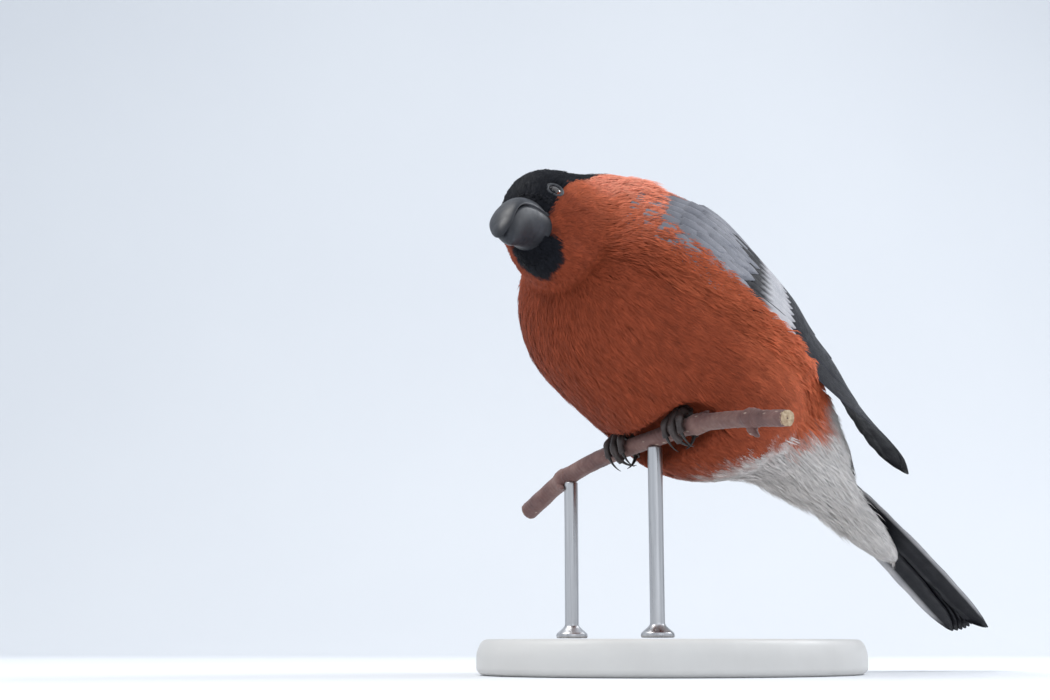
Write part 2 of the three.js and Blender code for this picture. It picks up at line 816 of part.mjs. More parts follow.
const headPlane = vec(0, 6.5, -8.5).applyMatrix4(headToBody);
const neckWay = vec(0, -0.82, 0.1).normalize();
const [headSide, rest] = parted(dressed, neckWay, headPlane);
const [neckSide, trunk] = parted(rest, vec(0, -1, -0.12), vec(0, -17.5, 0));
const [torsoSide, ventSide] = parted(trunk, vec(0, -1, 0), vec(0, 34, 0));

const head = union([headSide, ...seats.map(lidSolid)]).subtract(sockets);
bird.add(meshOf("head", head, BLACK_CAP));
bird.add(meshOf("neck", neckSide, ORANGE));
bird.add(meshOf("torso", torsoSide, ORANGE));
bird.add(meshOf("vent", ventSide, WHITE));
bird.add(meshOf("bill_upper", bill[0].subtract(grownCoat), HORN));
bird.add(meshOf("bill_lower", bill[1].subtract(grownCoat), HORN));
bird.add(meshOf("tail", tailSolid(grownCoat), TAIL));

const twig = twigSolid(0);
const clearOfTwig = twigSolid(GAP);
const mount = new THREE.Group();
SIDES.forEach((side, i) => {
  const word = side > 0 ? "left" : "right";
  bird.add(meshOf(`eye_${word}`, eyes[i], EYE));
  bird.add(meshOf(`wing_${word}`, wings[i], WING));
  const foot = footSolid(side, clearOfTwig);
  mount.add(meshOf(`foot_${word}`, foot, FOOT));
  mount.add(meshOf(`leg_${word}`, shankSolid(side), FOOT));
});
mount.add(meshOf("perch_twig", twig, BARK));
mount.add(meshOf("stand_base", baseSolid(), STAND));
for (const [word, x] of Object.entries(RODS)) {
  mount.add(meshOf(`stand_rod_${word}`, rodSolid(x, clearOfTwig), ROD));
}

const part = new THREE.Group();
part.add(bird, mount);
part.updateMatrixWorld(true);

export default part;
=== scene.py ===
from math import cos, pi, radians, sin, sqrt

import bpy
import numpy as np
from mathutils import Matrix, Vector


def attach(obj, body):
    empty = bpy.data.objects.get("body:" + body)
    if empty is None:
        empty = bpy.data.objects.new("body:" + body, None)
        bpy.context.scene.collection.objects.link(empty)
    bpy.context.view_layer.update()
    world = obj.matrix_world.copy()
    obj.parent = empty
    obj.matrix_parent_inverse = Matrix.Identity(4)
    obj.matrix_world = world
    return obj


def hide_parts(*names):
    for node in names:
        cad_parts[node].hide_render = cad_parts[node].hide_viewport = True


# A perched male bullfinch: one soft skin under a coat of small feather tufts, with wing and tail
# feathers, horn, eyes, feet, twig and stand as pieces of their own. Lengths are in millimetres
# here and become metres when a mesh is made.

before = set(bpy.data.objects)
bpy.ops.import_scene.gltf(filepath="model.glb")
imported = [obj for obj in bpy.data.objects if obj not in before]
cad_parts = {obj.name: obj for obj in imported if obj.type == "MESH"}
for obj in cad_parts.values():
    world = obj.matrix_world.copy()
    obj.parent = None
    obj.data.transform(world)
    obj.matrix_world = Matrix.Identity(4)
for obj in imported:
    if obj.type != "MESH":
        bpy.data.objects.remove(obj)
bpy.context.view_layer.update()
rng = np.random.default_rng(41)
MM = 0.001

# The solids' own dimensions, which the pieces here are fitted to

PERCH = np.array([0.0, -6.0, 47.0])
TWIG_RADIUS = 1.75
FOOT_SPREAD = 8.6

BILL_BASE = -8.5
BILL_REACH = 14.6
BILL_WIDTH = 9.8
BILL_DEPTH = 9.9
LOWER_SHARE = 0.91
EDGE_ARCH = 2.6
EYE_RADIUS = 2.6
EYE_SINK = 2.45

BASE_LENGTH = 84.0
BASE_WIDTH = 70.0
BASE_HEIGHT = 7.0
ROD_RADIUS = 1.5
RODS = {"middle": 0.5, "side": -29.0}


def place(x, y, z):
    return Matrix.Translation((x, y, z))


def turn(degrees, axis):
    return Matrix.Rotation(radians(degrees), 4, axis)


BODY = place(-0.5, -1.5, 73.5) @ turn(-7, "Y") @ turn(-38, "X")
HEAD = place(2.7, -32.2, 87.7) @ turn(24, "Z") @ turn(8, "X") @ turn(-22, "Y")
HEAD_IN_BODY = BODY.inverted() @ HEAD

BLOBS = [
    # frame, blend with the ones before, centre, radii
    ("body", 7, (0, -7, -3), (24.4, 23.5, 23.5)),
    ("body", 7, (0, 12, -3.5), (24, 26, 22.5)),
    ("body", 6, (0, -2, 4.6), (18, 28, 12.2)),
    ("body", 7, (0, 34, 1), (13, 25, 10.5)),
    ("body", 4, (-0.6, 56, -0.4), (6.4, 24, 3.2)),
    ("body", 6, (0, -21, 2), (13.5, 14, 12.5)),
    ("head", 5, (0, 7.5, -1), (9.5, 9.5, 9.5)),
    ("head", 5, (0, 0.5, 1.2), (9.2, 11.2, 10.6)),
    ("head", 3, (0, -6, -0.5), (6.5, 6.2, 6.6)),
    ("head", 3, (0, -3, -6), (6.6, 7.5, 5.6)),
    ("head", 3, (4.2, 1.5, -3.2), (5.6, 8, 6.6)),
    ("head", 3, (-4.2, 1.5, -3.2), (5.6, 8, 6.6)),
]

# Small helpers


def mapped(matrix, points):
    m = np.array(matrix)
    return np.asarray(points, float) @ m[:3, :3].T + m[:3, 3]


def unit(v):
    return v / np.maximum(np.linalg.norm(v, axis=-1, keepdims=True), 1e-9)


def smooth(x, low, high):
    t = np.clip((x - low) / (high - low), 0, 1)
    return t * t * (3 - 2 * t)


def mix(a, b, t):
    return a + (b - a) * t


def ripple(points, scale, seed):
    """Smooth noise between about -1 and 1, as a sum of waves in seeded directions."""
    waves = np.random.default_rng(seed)
    total = np.zeros(len(points))
    for octave in range(3):
        for _ in range(4):
            way = unit(waves.normal(size=3)) * 2 * pi / (scale / 1.9**octave)
            total += np.sin(points @ way + waves.uniform(0, 2 * pi)) * 0.5**octave
    return total / 3.2


def mesh_object(name, points, faces, material, *, replaces=(), colours=None, uv=None):
    """A piece from points in millimetres. faces is an array of triangles or of squares."""
    mesh = bpy.data.meshes.new(name)
    faces = np.asarray(faces, np.int32)
    count, corners = faces.shape
    mesh.vertices.add(len(points))
    mesh.vertices.foreach_set("co", (np.asarray(points, np.float32) * MM).ravel())
    mesh.loops.add(count * corners)
    mesh.loops.foreach_set("vertex_index", faces.ravel())
    mesh.polygons.add(count)
    mesh.polygons.foreach_set("loop_start", np.arange(0, count * corners, corners, dtype=np.int32))
    mesh.update(calc_edges=True)
    mesh.polygons.foreach_set("use_smooth", np.ones(count, bool))
    if colours is not None:
        layer = mesh.color_attributes.new("markings_and_painted_light", "FLOAT_COLOR", "POINT")
        rgba = np.ones((len(points), 4), np.float32)
        rgba[:, :3] = colours
        layer.data.foreach_set("color", rgba.ravel())
    if uv is not None:
        layer = mesh.uv_layers.new(name="OFBake")
        layer.data.foreach_set("uv", np.asarray(uv, np.float32)[faces.ravel()].ravel())
    mesh.validate()
    piece = bpy.data.objects.new(name, mesh)
    bpy.context.scene.collection.objects.link(piece)
    mesh.materials.append(material)
    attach(piece, "root")
    if replaces:
        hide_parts(*replaces)
    return piece


def grid_faces(rows, columns, wrap=False):
    """Squares of a grid of points, row by row."""
    across = columns if wrap else columns - 1
    i, j = np.meshgrid(np.arange(rows - 1), np.arange(across), indexing="ij")
    a = i * columns + j
    b = i * columns + (j + 1) % columns
    return np.stack([a, b, b + columns, a + columns], -1).reshape(-1, 4)


def closed_rings(rings):
    """A tube of rings (steps, sides, 3), closed at both ends by shrinking rings."""
    ends = []
    for ring in (rings[0], rings[-1]):
        centre = ring.mean(0)
        ends.append(mix(centre, ring, 0.55))
        ends.append(mix(centre, ring, 0.01))
    stack = np.concatenate([ends[1][None], ends[0][None], rings, ends[2][None], ends[3][None]])
    return stack.reshape(-1, 3), grid_faces(len(stack), rings.shape[1], wrap=True)


def joined(pieces):
    """One set of points and faces from several."""
    points, faces, start = [], [], 0
    for p, f in pieces:
        points.append(p)
        faces.append(f + start)
        start += len(p)
    return np.concatenate(points), np.concatenate(faces)


def spline(path, steps):
    """Points and unit tangents along a smooth curve through a path."""
    path = np.asarray(path, float)
    padded = np.vstack([2 * path[0] - path[1], path, 2 * path[-1] - path[-2]])
    fine = []
    for i in range(len(path) - 1):
        p0, p1, p2, p3 = padded[i : i + 4]
        t = np.linspace(0, 1, 24, endpoint=False)[:, None]
        square = 2 * p0 - 5 * p1 + 4 * p2 - p3
        cube = 3 * p1 - p0 - 3 * p2 + p3
        fine.append(0.5 * (2 * p1 + (p2 - p0) * t + square * t**2 + cube * t**3))
    fine = np.vstack(fine + [path[-1:]])
    run = np.r_[0, np.cumsum(np.linalg.norm(np.diff(fine, axis=0), axis=1))]
    at = np.linspace(0, run[-1], steps + 1)
    points = np.stack([np.interp(at, run, fine[:, k]) for k in range(3)], 1)
    return points, unit(np.gradient(points, axis=0)), run[-1]


def tube(path, radius_at, steps, sides, flatten=1.0, bumps=None):
    """Rings round a path. radius_at(t) and bumps(t, angle) are functions of arrays."""
    points, tangents, _ = spline(path, steps)
    side = np.cross(tangents[0], [0.3, 0.2, 1.0])
    normals = []
    for tangent in tangents:
        side = unit(side - tangent * (side @ tangent))
        normals.append(side)
    normals = np.array(normals)
    binormals = np.cross(tangents, normals)
    t = np.linspace(0, 1, steps + 1)[:, None]
    angle = np.linspace(0, 2 * pi, sides, endpoint=False)[None]
    radius = radius_at(t) * np.ones_like(angle)
    if bumps is not None:
        radius = radius + bumps(t, angle)
    return (
        points[:, None]
        + normals[:, None] * (radius * np.cos(angle))[..., None]
        + binormals[:, None] * (radius * flatten * np.sin(angle))[..., None]
    )


# The twig's middle line, and frames on it

TWIG = PERCH + np.array(
    [
        (-46, 3, -11),
        (-30, 1.5, -5),
        (-16, 0.4, -2),
        (0, 0, 0),
        (16, -0.2, 1.7),
        (30, -1.2, 1),
        (43, -3, -0.6),
    ],
    float,
)


def twig_at(share):
    """A point and the unit tangent at a share of the twig's length, on a centripetal curve."""
    padded = np.vstack([2 * TWIG[0] - TWIG[1], TWIG, 2 * TWIG[-1] - TWIG[-2]])
    at = min(max(share, 0.0), 1.0) * (len(TWIG) - 1)
    k = min(int(at), len(TWIG) - 2)
    w = at - k
    p0, p1, p2, p3 = padded[k : k + 4]
    d0, d1, d2 = (sqrt(np.linalg.norm(b - a)) for a, b in ((p0, p1), (p1, p2), (p2, p3)))
    first = ((p1 - p0) / d0 - (p2 - p0) / (d0 + d1) + (p2 - p1) / d1) * d1
    last = ((p2 - p1) / d1 - (p3 - p1) / (d1 + d2) + (p3 - p2) / d2) * d1
    c2 = -3 * p1 + 3 * p2 - 2 * first - last
    c3 = 2 * p1 - 2 * p2 + first + last
    return p1 + first * w + c2 * w**2 + c3 * w**3, unit(first + 2 * c2 * w + 3 * c3 * w**2)


def twig_share(x):
    return (x - TWIG[0][0]) / (TWIG[-1][0] - TWIG[0][0])


TWIG_LINE = np.array([twig_at(t)[0] for t in np.linspace(0, 1, 121)])
GROOVE_NARROW = 2.3  # radius round the bare twig
GROOVE_WIDE = 4.7  # radius round the feet and between them
GROOVE_MIDDLE = 1.5  # along X
GROOVE_ENDS = (13.5, 17)  # from its middle, where the wide part gives way to the narrow one


def groove(p):
    """How deep places in the body frame lie in the room that twig and feet take from the coat."""
    x, y, z = mapped(BODY, p).T
    away = np.hypot(y - np.interp(x, *TWIG_LINE[:, :2].T), z - np.interp(x, *TWIG_LINE[:, ::2].T))
    # the distance is taken square to X, which the sloping twig makes a little too long
    return mix(GROOVE_WIDE, GROOVE_NARROW, smooth(np.abs(x - GROOVE_MIDDLE), *GROOVE_ENDS)) - 0.97 * away


# The coat's field: the solids' own, less the groove that shows twig and feet before the belly

GROOVE_BLEND = 1.4
_FIELD = []
for kind, blend, centre, radii in BLOBS:
    to_blob = (HEAD_IN_BODY if kind == "head" else Matrix.Identity(4)) @ place(*centre)
    inverse = np.array(to_blob.inverted())
    _FIELD.append((blend, inverse[:3, :3].T, inverse[:3, 3], np.array(radii, float)))


def coat_field(p):
    """Roughly the distance outside the coat, in the body frame, negative inside it."""
    field = None
    for blend, rotation, shift, radii in _FIELD:
        q = (p @ rotation + shift) / radii
        reach = np.sqrt((q * q).sum(-1))
        slope = np.sqrt(((q / radii) ** 2).sum(-1))
        distance = reach * (reach - 1) / np.maximum(slope, 1e-9)
        if field is None:
            field = distance
            continue
        near = np.maximum(blend - np.abs(field - distance), 0)
        field = np.minimum(field, distance) - near * near / (4 * blend)
    room = groove(p)
    near = np.maximum(GROOVE_BLEND - np.abs(field - room), 0)
    return np.maximum(field, room) + near * near / (4 * GROOVE_BLEND)


def coat_slope(p):
    step = 0.05
    here = coat_field(p)
    slope = np.stack([coat_field(p + step * axis) - here for axis in np.eye(3)], -1) / step
    return here, slope


def settle(p, level, rounds=2):
    """Moves points straight onto a level of the field, and gives the outward way there."""
    for _ in range(rounds):
        here, slope = coat_slope(p)
        size = np.maximum((slope * slope).sum(-1), 0.2)
        p = p + slope * ((level - here) / size)[..., None]
    return p, unit(slope)


def cast_out(start, way, level=0.0):
    reach = np.zeros(len(start))
    for _ in range(70):
        gap = level - coat_field(start + way * reach[:, None])
        reach = reach + np.clip(0.75 * gap, 0, 0.9)
    return start + way * reach[:, None]


# Skin: rings fanned out at the head, square to the spine behind it

COAT_DEPTH = 1.7
FACE_DEPTH = 0.35
FACE = np.array([0.0, -11.0, -2.0])
FAN_FROM = -16.0
VENT_AT = 62.0
COVERT_LEVEL = -0.4
SKIN_ROWS = 170
SKIN_SIDES = 144
FAN_SHARE = 0.45  # of the rows, fanned out at the head
CLOSE_FROM = 0.93  # of the rows, where they start to close behind the last covert


def coat_depth(p):
    """How far the skin lies in from the coat's surface: least round the bill and eyes."""
    head = mapped(HEAD_IN_BODY.inverted(), p)
    return mix(FACE_DEPTH, COAT_DEPTH, smooth(np.linalg.norm(head - FACE, axis=1), 6, 17))


def skin_grid():
    bill = mapped(HEAD_IN_BODY, [(0, -13, -1)])[0]
    bill_way = unit(bill - np.array([0, FAN_FROM, 0]))
    ahead = np.array([0.0, -1.0, 0.0])
    t = np.linspace(0, 1, SKIN_ROWS)
    # opening angle of the fan, and place along the spine, for each row
    closing = mix(90, 179, (t - CLOSE_FROM) / 0.07)
    opening = np.where(t < FAN_SHARE, mix(0.6, 90, t / FAN_SHARE), np.where(t > CLOSE_FROM, closing, 90))
    travel = np.minimum(VENT_AT, mix(FAN_FROM, VENT_AT, (t - FAN_SHARE) / 0.48))
    along = np.where(t < FAN_SHARE, FAN_FROM, travel)
    angle = np.linspace(0, 2 * pi, SKIN_SIDES, endpoint=False)
    starts, ways = [], []
    for o, y in zip(opening, along):
        way = unit(mix(bill_way, ahead, float(smooth(np.array(o), 20, 88))))
        across = unit(np.array([1.0, 0, 0]) - way * way[0])
        over = np.cross(way, across)
        sink = float(smooth(np.array(y), 30, VENT_AT)) * COVERT_LEVEL
        ring = np.cos(angle)[:, None] * across + np.sin(angle)[:, None] * over
        ways.append(cos(radians(o)) * way + sin(radians(o)) * ring)
        starts.append(np.tile([0, y, sink], (SKIN_SIDES, 1)))
    starts, ways = np.concatenate(starts), unit(np.concatenate(ways))
    points = cast_out(starts, ways, -coat_depth(cast_out(starts, ways)))
    u, v = np.meshgrid(np.arange(SKIN_SIDES) / SKIN_SIDES, t)
    return points, np.stack([0.02 + 0.96 * u.ravel(), 0.02 + 0.96 * v.ravel()], -1)


# Markings and painted light: the same colours for skin and coat, by place on the bird, with painted light and
# painted shade on the orange

BLACK = np.array([0.0075, 0.0085, 0.0125])
ORANGE = np.array([0.62, 0.150, 0.066])
# painted light: the paler orange of the lit upper breast and cheeks
ORANGE_PAINTED_LIGHT = np.array([0.86, 0.31, 0.20])
# painted shade: the darker orange of the shaded lower breast and belly
ORANGE_PAINTED_SHADE = np.array([0.225, 0.040, 0.016])
GREY = np.array([0.235, 0.24, 0.265])
WHITE = np.array([0.70, 0.67, 0.645])
# painted shade: the greyed white of the vent's lower side
VENT_PAINTED_SHADE = np.array([0.60, 0.565, 0.545])

# Where the black mask ends: degrees round the bill from the crown down, and how far along the
# head's Y it reaches there.
MASK_TURNS = [0, 36, 41, 47, 51, 57, 65, 76, 90, 110, 135, 160, 180]
MASK_REACH = [12.5, 12.0, 7.6, 2.4, -2.2, -6.0, -8.0, -9.0, -9.6, -10.0, -9.7, -8.4, -7.6]


def mask(head):
    """Above 0 in the black cap, lores and chin, for places in the head frame."""
    turned = np.degrees(np.arctan2(np.abs(head[:, 0]), head[:, 2] + 1.5))
    far_side = 2.2 * smooth(-head[:, 0], 0, 4) * smooth(turned, 90, 125)
    return np.interp(turned, MASK_TURNS, MASK_REACH) + far_side - head[:, 1]


def markings_and_painted_light(p):
    """Feather colours at places in the body frame: the bird's marks, with painted light and painted shade on
    the orange.
    """
    head = mapped(HEAD_IN_BODY.inverted(), p)
    x, y, z = p.T
    fray = ripple(p, 4.0, 5)
    broad = ripple(p, 15.0, 6)
    streaks = ripple(p * [1.0, 0.16, 1.0], 2.6, 9)
    # painted light: the orange pales towards the front and top of the breast and the cheeks, with a little
    # random pale tone as well
    front = smooth(-y, 2, 26) * smooth(z, -12, 6)
    colour = mix(ORANGE, ORANGE_PAINTED_LIGHT, smooth(0.2 * broad + 0.15 * streaks + front, 0.15, 1.2)[:, None])
    # painted shade: the orange darkens downwards to the belly, a little less towards the tail, with streaky
    # random edges
    deep = smooth(-z - 0.05 * y + 1.5 * broad + 1.6 * streaks, -1, 15) * (1 - 0.35 * smooth(y, 14, 34))
    colour = mix(colour, ORANGE_PAINTED_SHADE, 0.85 * deep[:, None])
    # pale fade towards the vent, then white, which takes painted shade lower down under the tail
    white = smooth(y - 36.0 - 0.64 * z - 2.0 * fray, -2.0, 3.0)
    white = np.maximum(white, smooth(y - 32 - fray, -1, 2) * smooth(z, 0, 3))
    vent = mix(WHITE, VENT_PAINTED_SHADE, smooth(-z + 0.5 * fray, 4, 14)[:, None])
    colour = mix(colour, vent, white[:, None])
    # ash-grey mantle and shoulders
    grey = smooth(z - 8.5 - 1.1 * fray - 0.35 * np.maximum(-18 - y, 0), -1.4, 1.8) * smooth(y, -24, -18)
    nape = smooth(z, 7, 10) * (1 - smooth(np.abs(x + 0.5), 3.5, 6.5)) * smooth(y, -35, -30)
    grey = np.maximum(grey, nape) * (1 - smooth(y - fray, 31, 33.5))
    colour = mix(colour, GREY, grey[:, None])
    # black upper tail coverts
    upper = smooth(z, 1.0, 2.6) * smooth(y, 45, 49)
    colour = mix(colour, BLACK, upper[:, None])
    black = smooth(mask(head) + 0.35 * fray, -0.3, 0.5) * (1 - smooth(np.linalg.norm(head, axis=1), 20, 24))
    return mix(colour, BLACK, black[:, None])


def lie(p, normal):
    """The way that feathers lie at places in the body frame: back from the bill, then tailward."""
    bill = mapped(HEAD_IN_BODY, [(0, -10, -2)])[0]
    away = p - bill
    distance = np.linalg.norm(away, axis=1)
    tailward = np.tile([0.0, 1.0, 0.0], (len(p), 1))
    flank = smooth(np.abs(p[:, 0]), 12, 22) * smooth(p[:, 1], -22, -5) * (1 - smooth(p[:, 1], 24, 40))
    tailward[:, 2] += 0.32 * flank
    way = mix(unit(away), tailward, smooth(distance, 8, 34)[:, None])
    way = way - normal * (way * normal).sum(1)[:, None]
    return unit(way)


# Materials


class Nodes:
    """A material's node tree, with short calls for the nodes used here."""

    def __init__(self, name):
        self.material = bpy.data.materials.new(name)
        self.material.use_nodes = True
        self.tree = self.material.node_tree
        self.shader = self.tree.nodes["Principled BSDF"]

    def add(self, kind, inputs=None, **settings):
        node = self.tree.nodes.new(kind)
        for key, value in settings.items():
            setattr(node, key, value)
        for key, value in (inputs or {}).items():
            self.put(node.inputs[key], value)
        return node

    def put(self, socket, value):
        if isinstance(value, bpy.types.NodeSocket):
            self.tree.links.new(value, socket)
        else:
            socket.default_value = value

    def set(self, **inputs):
        for key, value in inputs.items():
            self.put(self.shader.inputs[key.replace("_", " ")], value)

    def place(self, scale=(1, 1, 1)):
        coordinates = self.add("ShaderNodeTexCoord").outputs["Object"]
        return self.add("ShaderNodeMapping", {"Vector": coordinates, "Scale": scale}).outputs["Vector"]

    def noise(self, scale, detail=3.0, roughness=0.55, vector=None):
        inputs = {"Scale": scale, "Detail": detail, "Roughness": roughness, "Vector": vector or self.place()}
        return self.add("ShaderNodeTexNoise", inputs).outputs["Fac"]

    def ramp(self, factor, *stops):
        node = self.add("ShaderNodeValToRGB", {"Fac": factor})
        elements = node.color_ramp.elements
        while len(elements) < len(stops):
            elements.new(0.5)
        for element, (position, colour) in zip(elements, stops):
            element.position = position
            element.color = colour if len(colour) == 4 else (*colour, 1)
        return node.outputs["Color"]

    def range(self, value, low, high):
        inputs = {"Value": value, "From Min": 0.3, "From Max": 0.7, "To Min": low, "To Max": high}
        return self.add("ShaderNodeMapRange", inputs).outputs["Result"]

    def blend(self, factor, a, b, mode="MIX"):
        node = self.add("ShaderNodeMix", data_type="RGBA", blend_type=mode)
        self.put(node.inputs[0], factor)
        self.put(node.inputs[6], a)
        self.put(node.inputs[7], b)
        return node.outputs[2]

    def bump(self, height, strength, distance):
        inputs = {"Height": height, "Strength": strength, "Distance": distance * MM}
        return self.add("ShaderNodeBump", inputs).outputs["Normal"]


def feather_material(name, roughness, sheen, grain):
    """Feathers coloured by their marks and painted light, with fine variation and a barb grain."""
    n = Nodes(name)
    base = n.add("ShaderNodeAttribute", attribute_name="markings_and_painted_light").outputs["Color"]
    patches = n.noise(420, 4)
    shade = n.ramp(patches, (0.3, (0.90, 0.90, 0.90)), (0.7, (1.07, 1.06, 1.05)))
    n.set(Base_Color=n.blend(1.0, base, shade, "MULTIPLY"))
    n.set(Roughness=n.range(n.noise(900, 2), roughness - 0.08, roughness + 0.1))
    n.set(Specular_IOR_Level=0.12, Sheen_Weight=sheen, Sheen_Roughness=0.45)
    n.set(Normal=n.bump(n.noise(grain, 2), 0.35, 0.06))
    return n.material


def skin_material():
    n = Nodes("skin_down")
    base = n.add("ShaderNodeAttribute", attribute_name="markings_and_painted_light").outputs["Color"]
    fibres = n.noise(1500, 3, vector=n.place((1, 0.25, 1)))
    shade = n.ramp(fibres, (0.3, (0.62, 0.62, 0.62)), (0.75, (0.95, 0.95, 0.95)))
    n.set(Base_Color=n.blend(1.0, base, shade, "MULTIPLY"))
    n.set(Roughness=0.85, Specular_IOR_Level=0.2)
    n.set(Normal=n.bump(fibres, 0.6, 0.2))
    return n.material


def vane_material(name, roughness):
    """Flight feathers: glossy, with fine barbs slanting from the shaft."""
    n = Nodes(name)
    base = n.add("ShaderNodeAttribute", attribute_name="markings_and_painted_light").outputs["Color"]
    uv = n.add("ShaderNodeUVMap", uv_map="vane").outputs["UV"]
    wave = n.add("ShaderNodeTexWave", {"Vector": uv, "Scale": 9.0, "Distortion": 0.8, "Detail": 1.0})
    barbs = wave.outputs["Fac"]
    shade = n.ramp(barbs, (0.0, (0.72, 0.72, 0.74)), (1.0, (1.2, 1.2, 1.2)))
    worn = n.ramp(n.noise(260, 3), (0.3, (0.85, 0.85, 0.86)), (0.75, (1.15, 1.12, 1.1)))
    n.set(Base_Color=n.blend(1.0, n.blend(1.0, base, shade, "MULTIPLY"), worn, "MULTIPLY"))
    n.set(Roughness=n.range(n.noise(500, 2), roughness - 0.07, roughness + 0.1))
    n.set(Specular_IOR_Level=0.12)
    n.set(Normal=n.bump(barbs, 0.35, 0.05))
    return n.material


def horn_material():
    n = Nodes("bill_horn")
    clouds = n.noise(190, 5, 0.6)
    growth = n.noise(700, 3, vector=n.place((1, 1, 0.35)))
    colour = n.ramp(
        clouds,
        (0.25, (0.012, 0.013, 0.016)),
        (0.55, (0.026, 0.028, 0.034)),
        (0.8, (0.055, 0.058, 0.068)),
    )
    n.set(Base_Color=colour)
    n.set(Roughness=n.range(growth, 0.34, 0.5), Specular_IOR_Level=0.34)
    n.set(Normal=n.bump(growth, 0.3, 0.08))
    return n.material


def eye_material():
    n = Nodes("eye_gloss")
    depth = n.noise(350, 2)
    n.set(Base_Color=n.ramp(depth, (0.3, (0.006, 0.004, 0.003)), (0.75, (0.022, 0.012, 0.008))))
    n.set(Roughness=0.06, Specular_IOR_Level=0.7, Coat_Weight=1.0, Coat_Roughness=0.02)
    return n.material


def scale_material(name, dark, light, gloss):
    n = Nodes(name)
    cells = n.add("ShaderNodeTexVoronoi", {"Vector": n.place(), "Scale": 1100.0}, feature="F1")
    cells = cells.outputs["Distance"]
    tone = n.ramp(n.noise(420, 4), (0.3, dark), (0.75, light))
    n.set(Base_Color=tone, Roughness=n.range(n.noise(800, 2), gloss, gloss + 0.15))
    n.set(Normal=n.bump(cells, 0.45, 0.08), Specular_IOR_Level=0.45)
    return n.material


def bark_material():
    n = Nodes("twig_bark")
    base = n.ramp(
        n.noise(170, 5, 0.6),
        (0.25, (0.075, 0.036, 0.034)),
        (0.5, (0.155, 0.078, 0.068)),
        (0.78, (0.27, 0.165, 0.135)),
    )
    cells = n.add("ShaderNodeTexVoronoi", {"Vector": n.place((0.55, 1.3, 1.3)), "Scale": 480.0}, feature="F1")
    pores = n.ramp(cells.outputs["Distance"], (0.05, (1, 1, 1)), (0.16, (0, 0, 0)))
    fine = n.noise(900, 4, vector=n.place((0.3, 1, 1)))
    n.set(Base_Color=n.blend(pores, base, (0.42, 0.31, 0.25, 1)))
    n.set(Roughness=n.range(fine, 0.5, 0.75), Specular_IOR_Level=0.35, Sheen_Weight=0.08)
    wear = n.add("ShaderNodeMath", operation="ADD")
    n.put(wear.inputs[0], fine)
    n.put(wear.inputs[1], pores)
    n.set(Normal=n.bump(wear.outputs[0], 0.5, 0.12))
    return n.material


def wood_end_material():
    n = Nodes("twig_end")
    rings = n.add("ShaderNodeTexNoise", {"Vector": n.place(), "Scale": 1600.0, "Detail": 3.0}).outputs["Fac"]
    n.set(Base_Color=n.ramp(rings, (0.3, (0.33, 0.22, 0.13)), (0.7, (0.6, 0.46, 0.3))), Roughness=0.75)
    n.set(Normal=n.bump(rings, 0.4, 0.08))
    return n.material


def stand_material():
    n = Nodes("stand_paint")
    haze = n.noise(60, 4)
    n.set(Base_Color=n.ramp(haze, (0.3, (0.60, 0.585, 0.56)), (0.7, (0.67, 0.655, 0.63))))
    n.set(Roughness=n.range(n.noise(240, 3), 0.36, 0.5), Specular_IOR_Level=0.4)
    n.set(Normal=n.bump(n.noise(1800, 2), 0.12, 0.03))
    return n.material


def rod_material():
    n = Nodes("rod_steel")
    lines = n.noise(900, 3, vector=n.place((1, 1, 0.03)))
    n.set(Base_Color=n.ramp(lines, (0.3, (0.42, 0.42, 0.43)), (0.7, (0.62, 0.62, 0.63))))
    n.set(Metallic=1.0)
    n.set(Roughness=n.range(lines, 0.24, 0.4), Normal=n.bump(lines, 0.15, 0.02))
    return n.material


def floor_material():
    n = Nodes("studio_floor")
    n.set(Base_Color=n.ramp(n.noise(3, 3), (0.3, (0.78, 0.795, 0.82)), (0.7, (0.81, 0.825, 0.845))))
    n.set(Roughness=0.8, Specular_IOR_Level=0.2)
    return n.material


def lid_material():
    n = Nodes("bare_lid")
    folds = n.noise(1300, 3)
    n.set(Base_Color=n.ramp(folds, (0.3, (0.022, 0.023, 0.027)), (0.7, (0.055, 0.057, 0.065))))
    n.set(Roughness=0.55)
    n.set(Normal=n.bump(folds, 0.4, 0.05), Specular_IOR_Level=0.4)
    return n.material


COAT = feather_material("coat_feathers", 0.62, 0.02, 1700)
SKIN = skin_material()
VANE = vane_material("flight_feathers", 0.42)
HORN = horn_material()
FOOT_SKIN = scale_material("foot_skin", (0.022, 0.016, 0.015), (0.075, 0.055, 0.05), 0.42)
CLAW = scale_material("claw_horn", (0.007, 0.006, 0.006), (0.028, 0.024, 0.022), 0.25)
ROD = rod_material()

# Coat tufts

STATIONS = 4
COAT_PIECE_TRIANGLES = 190_000


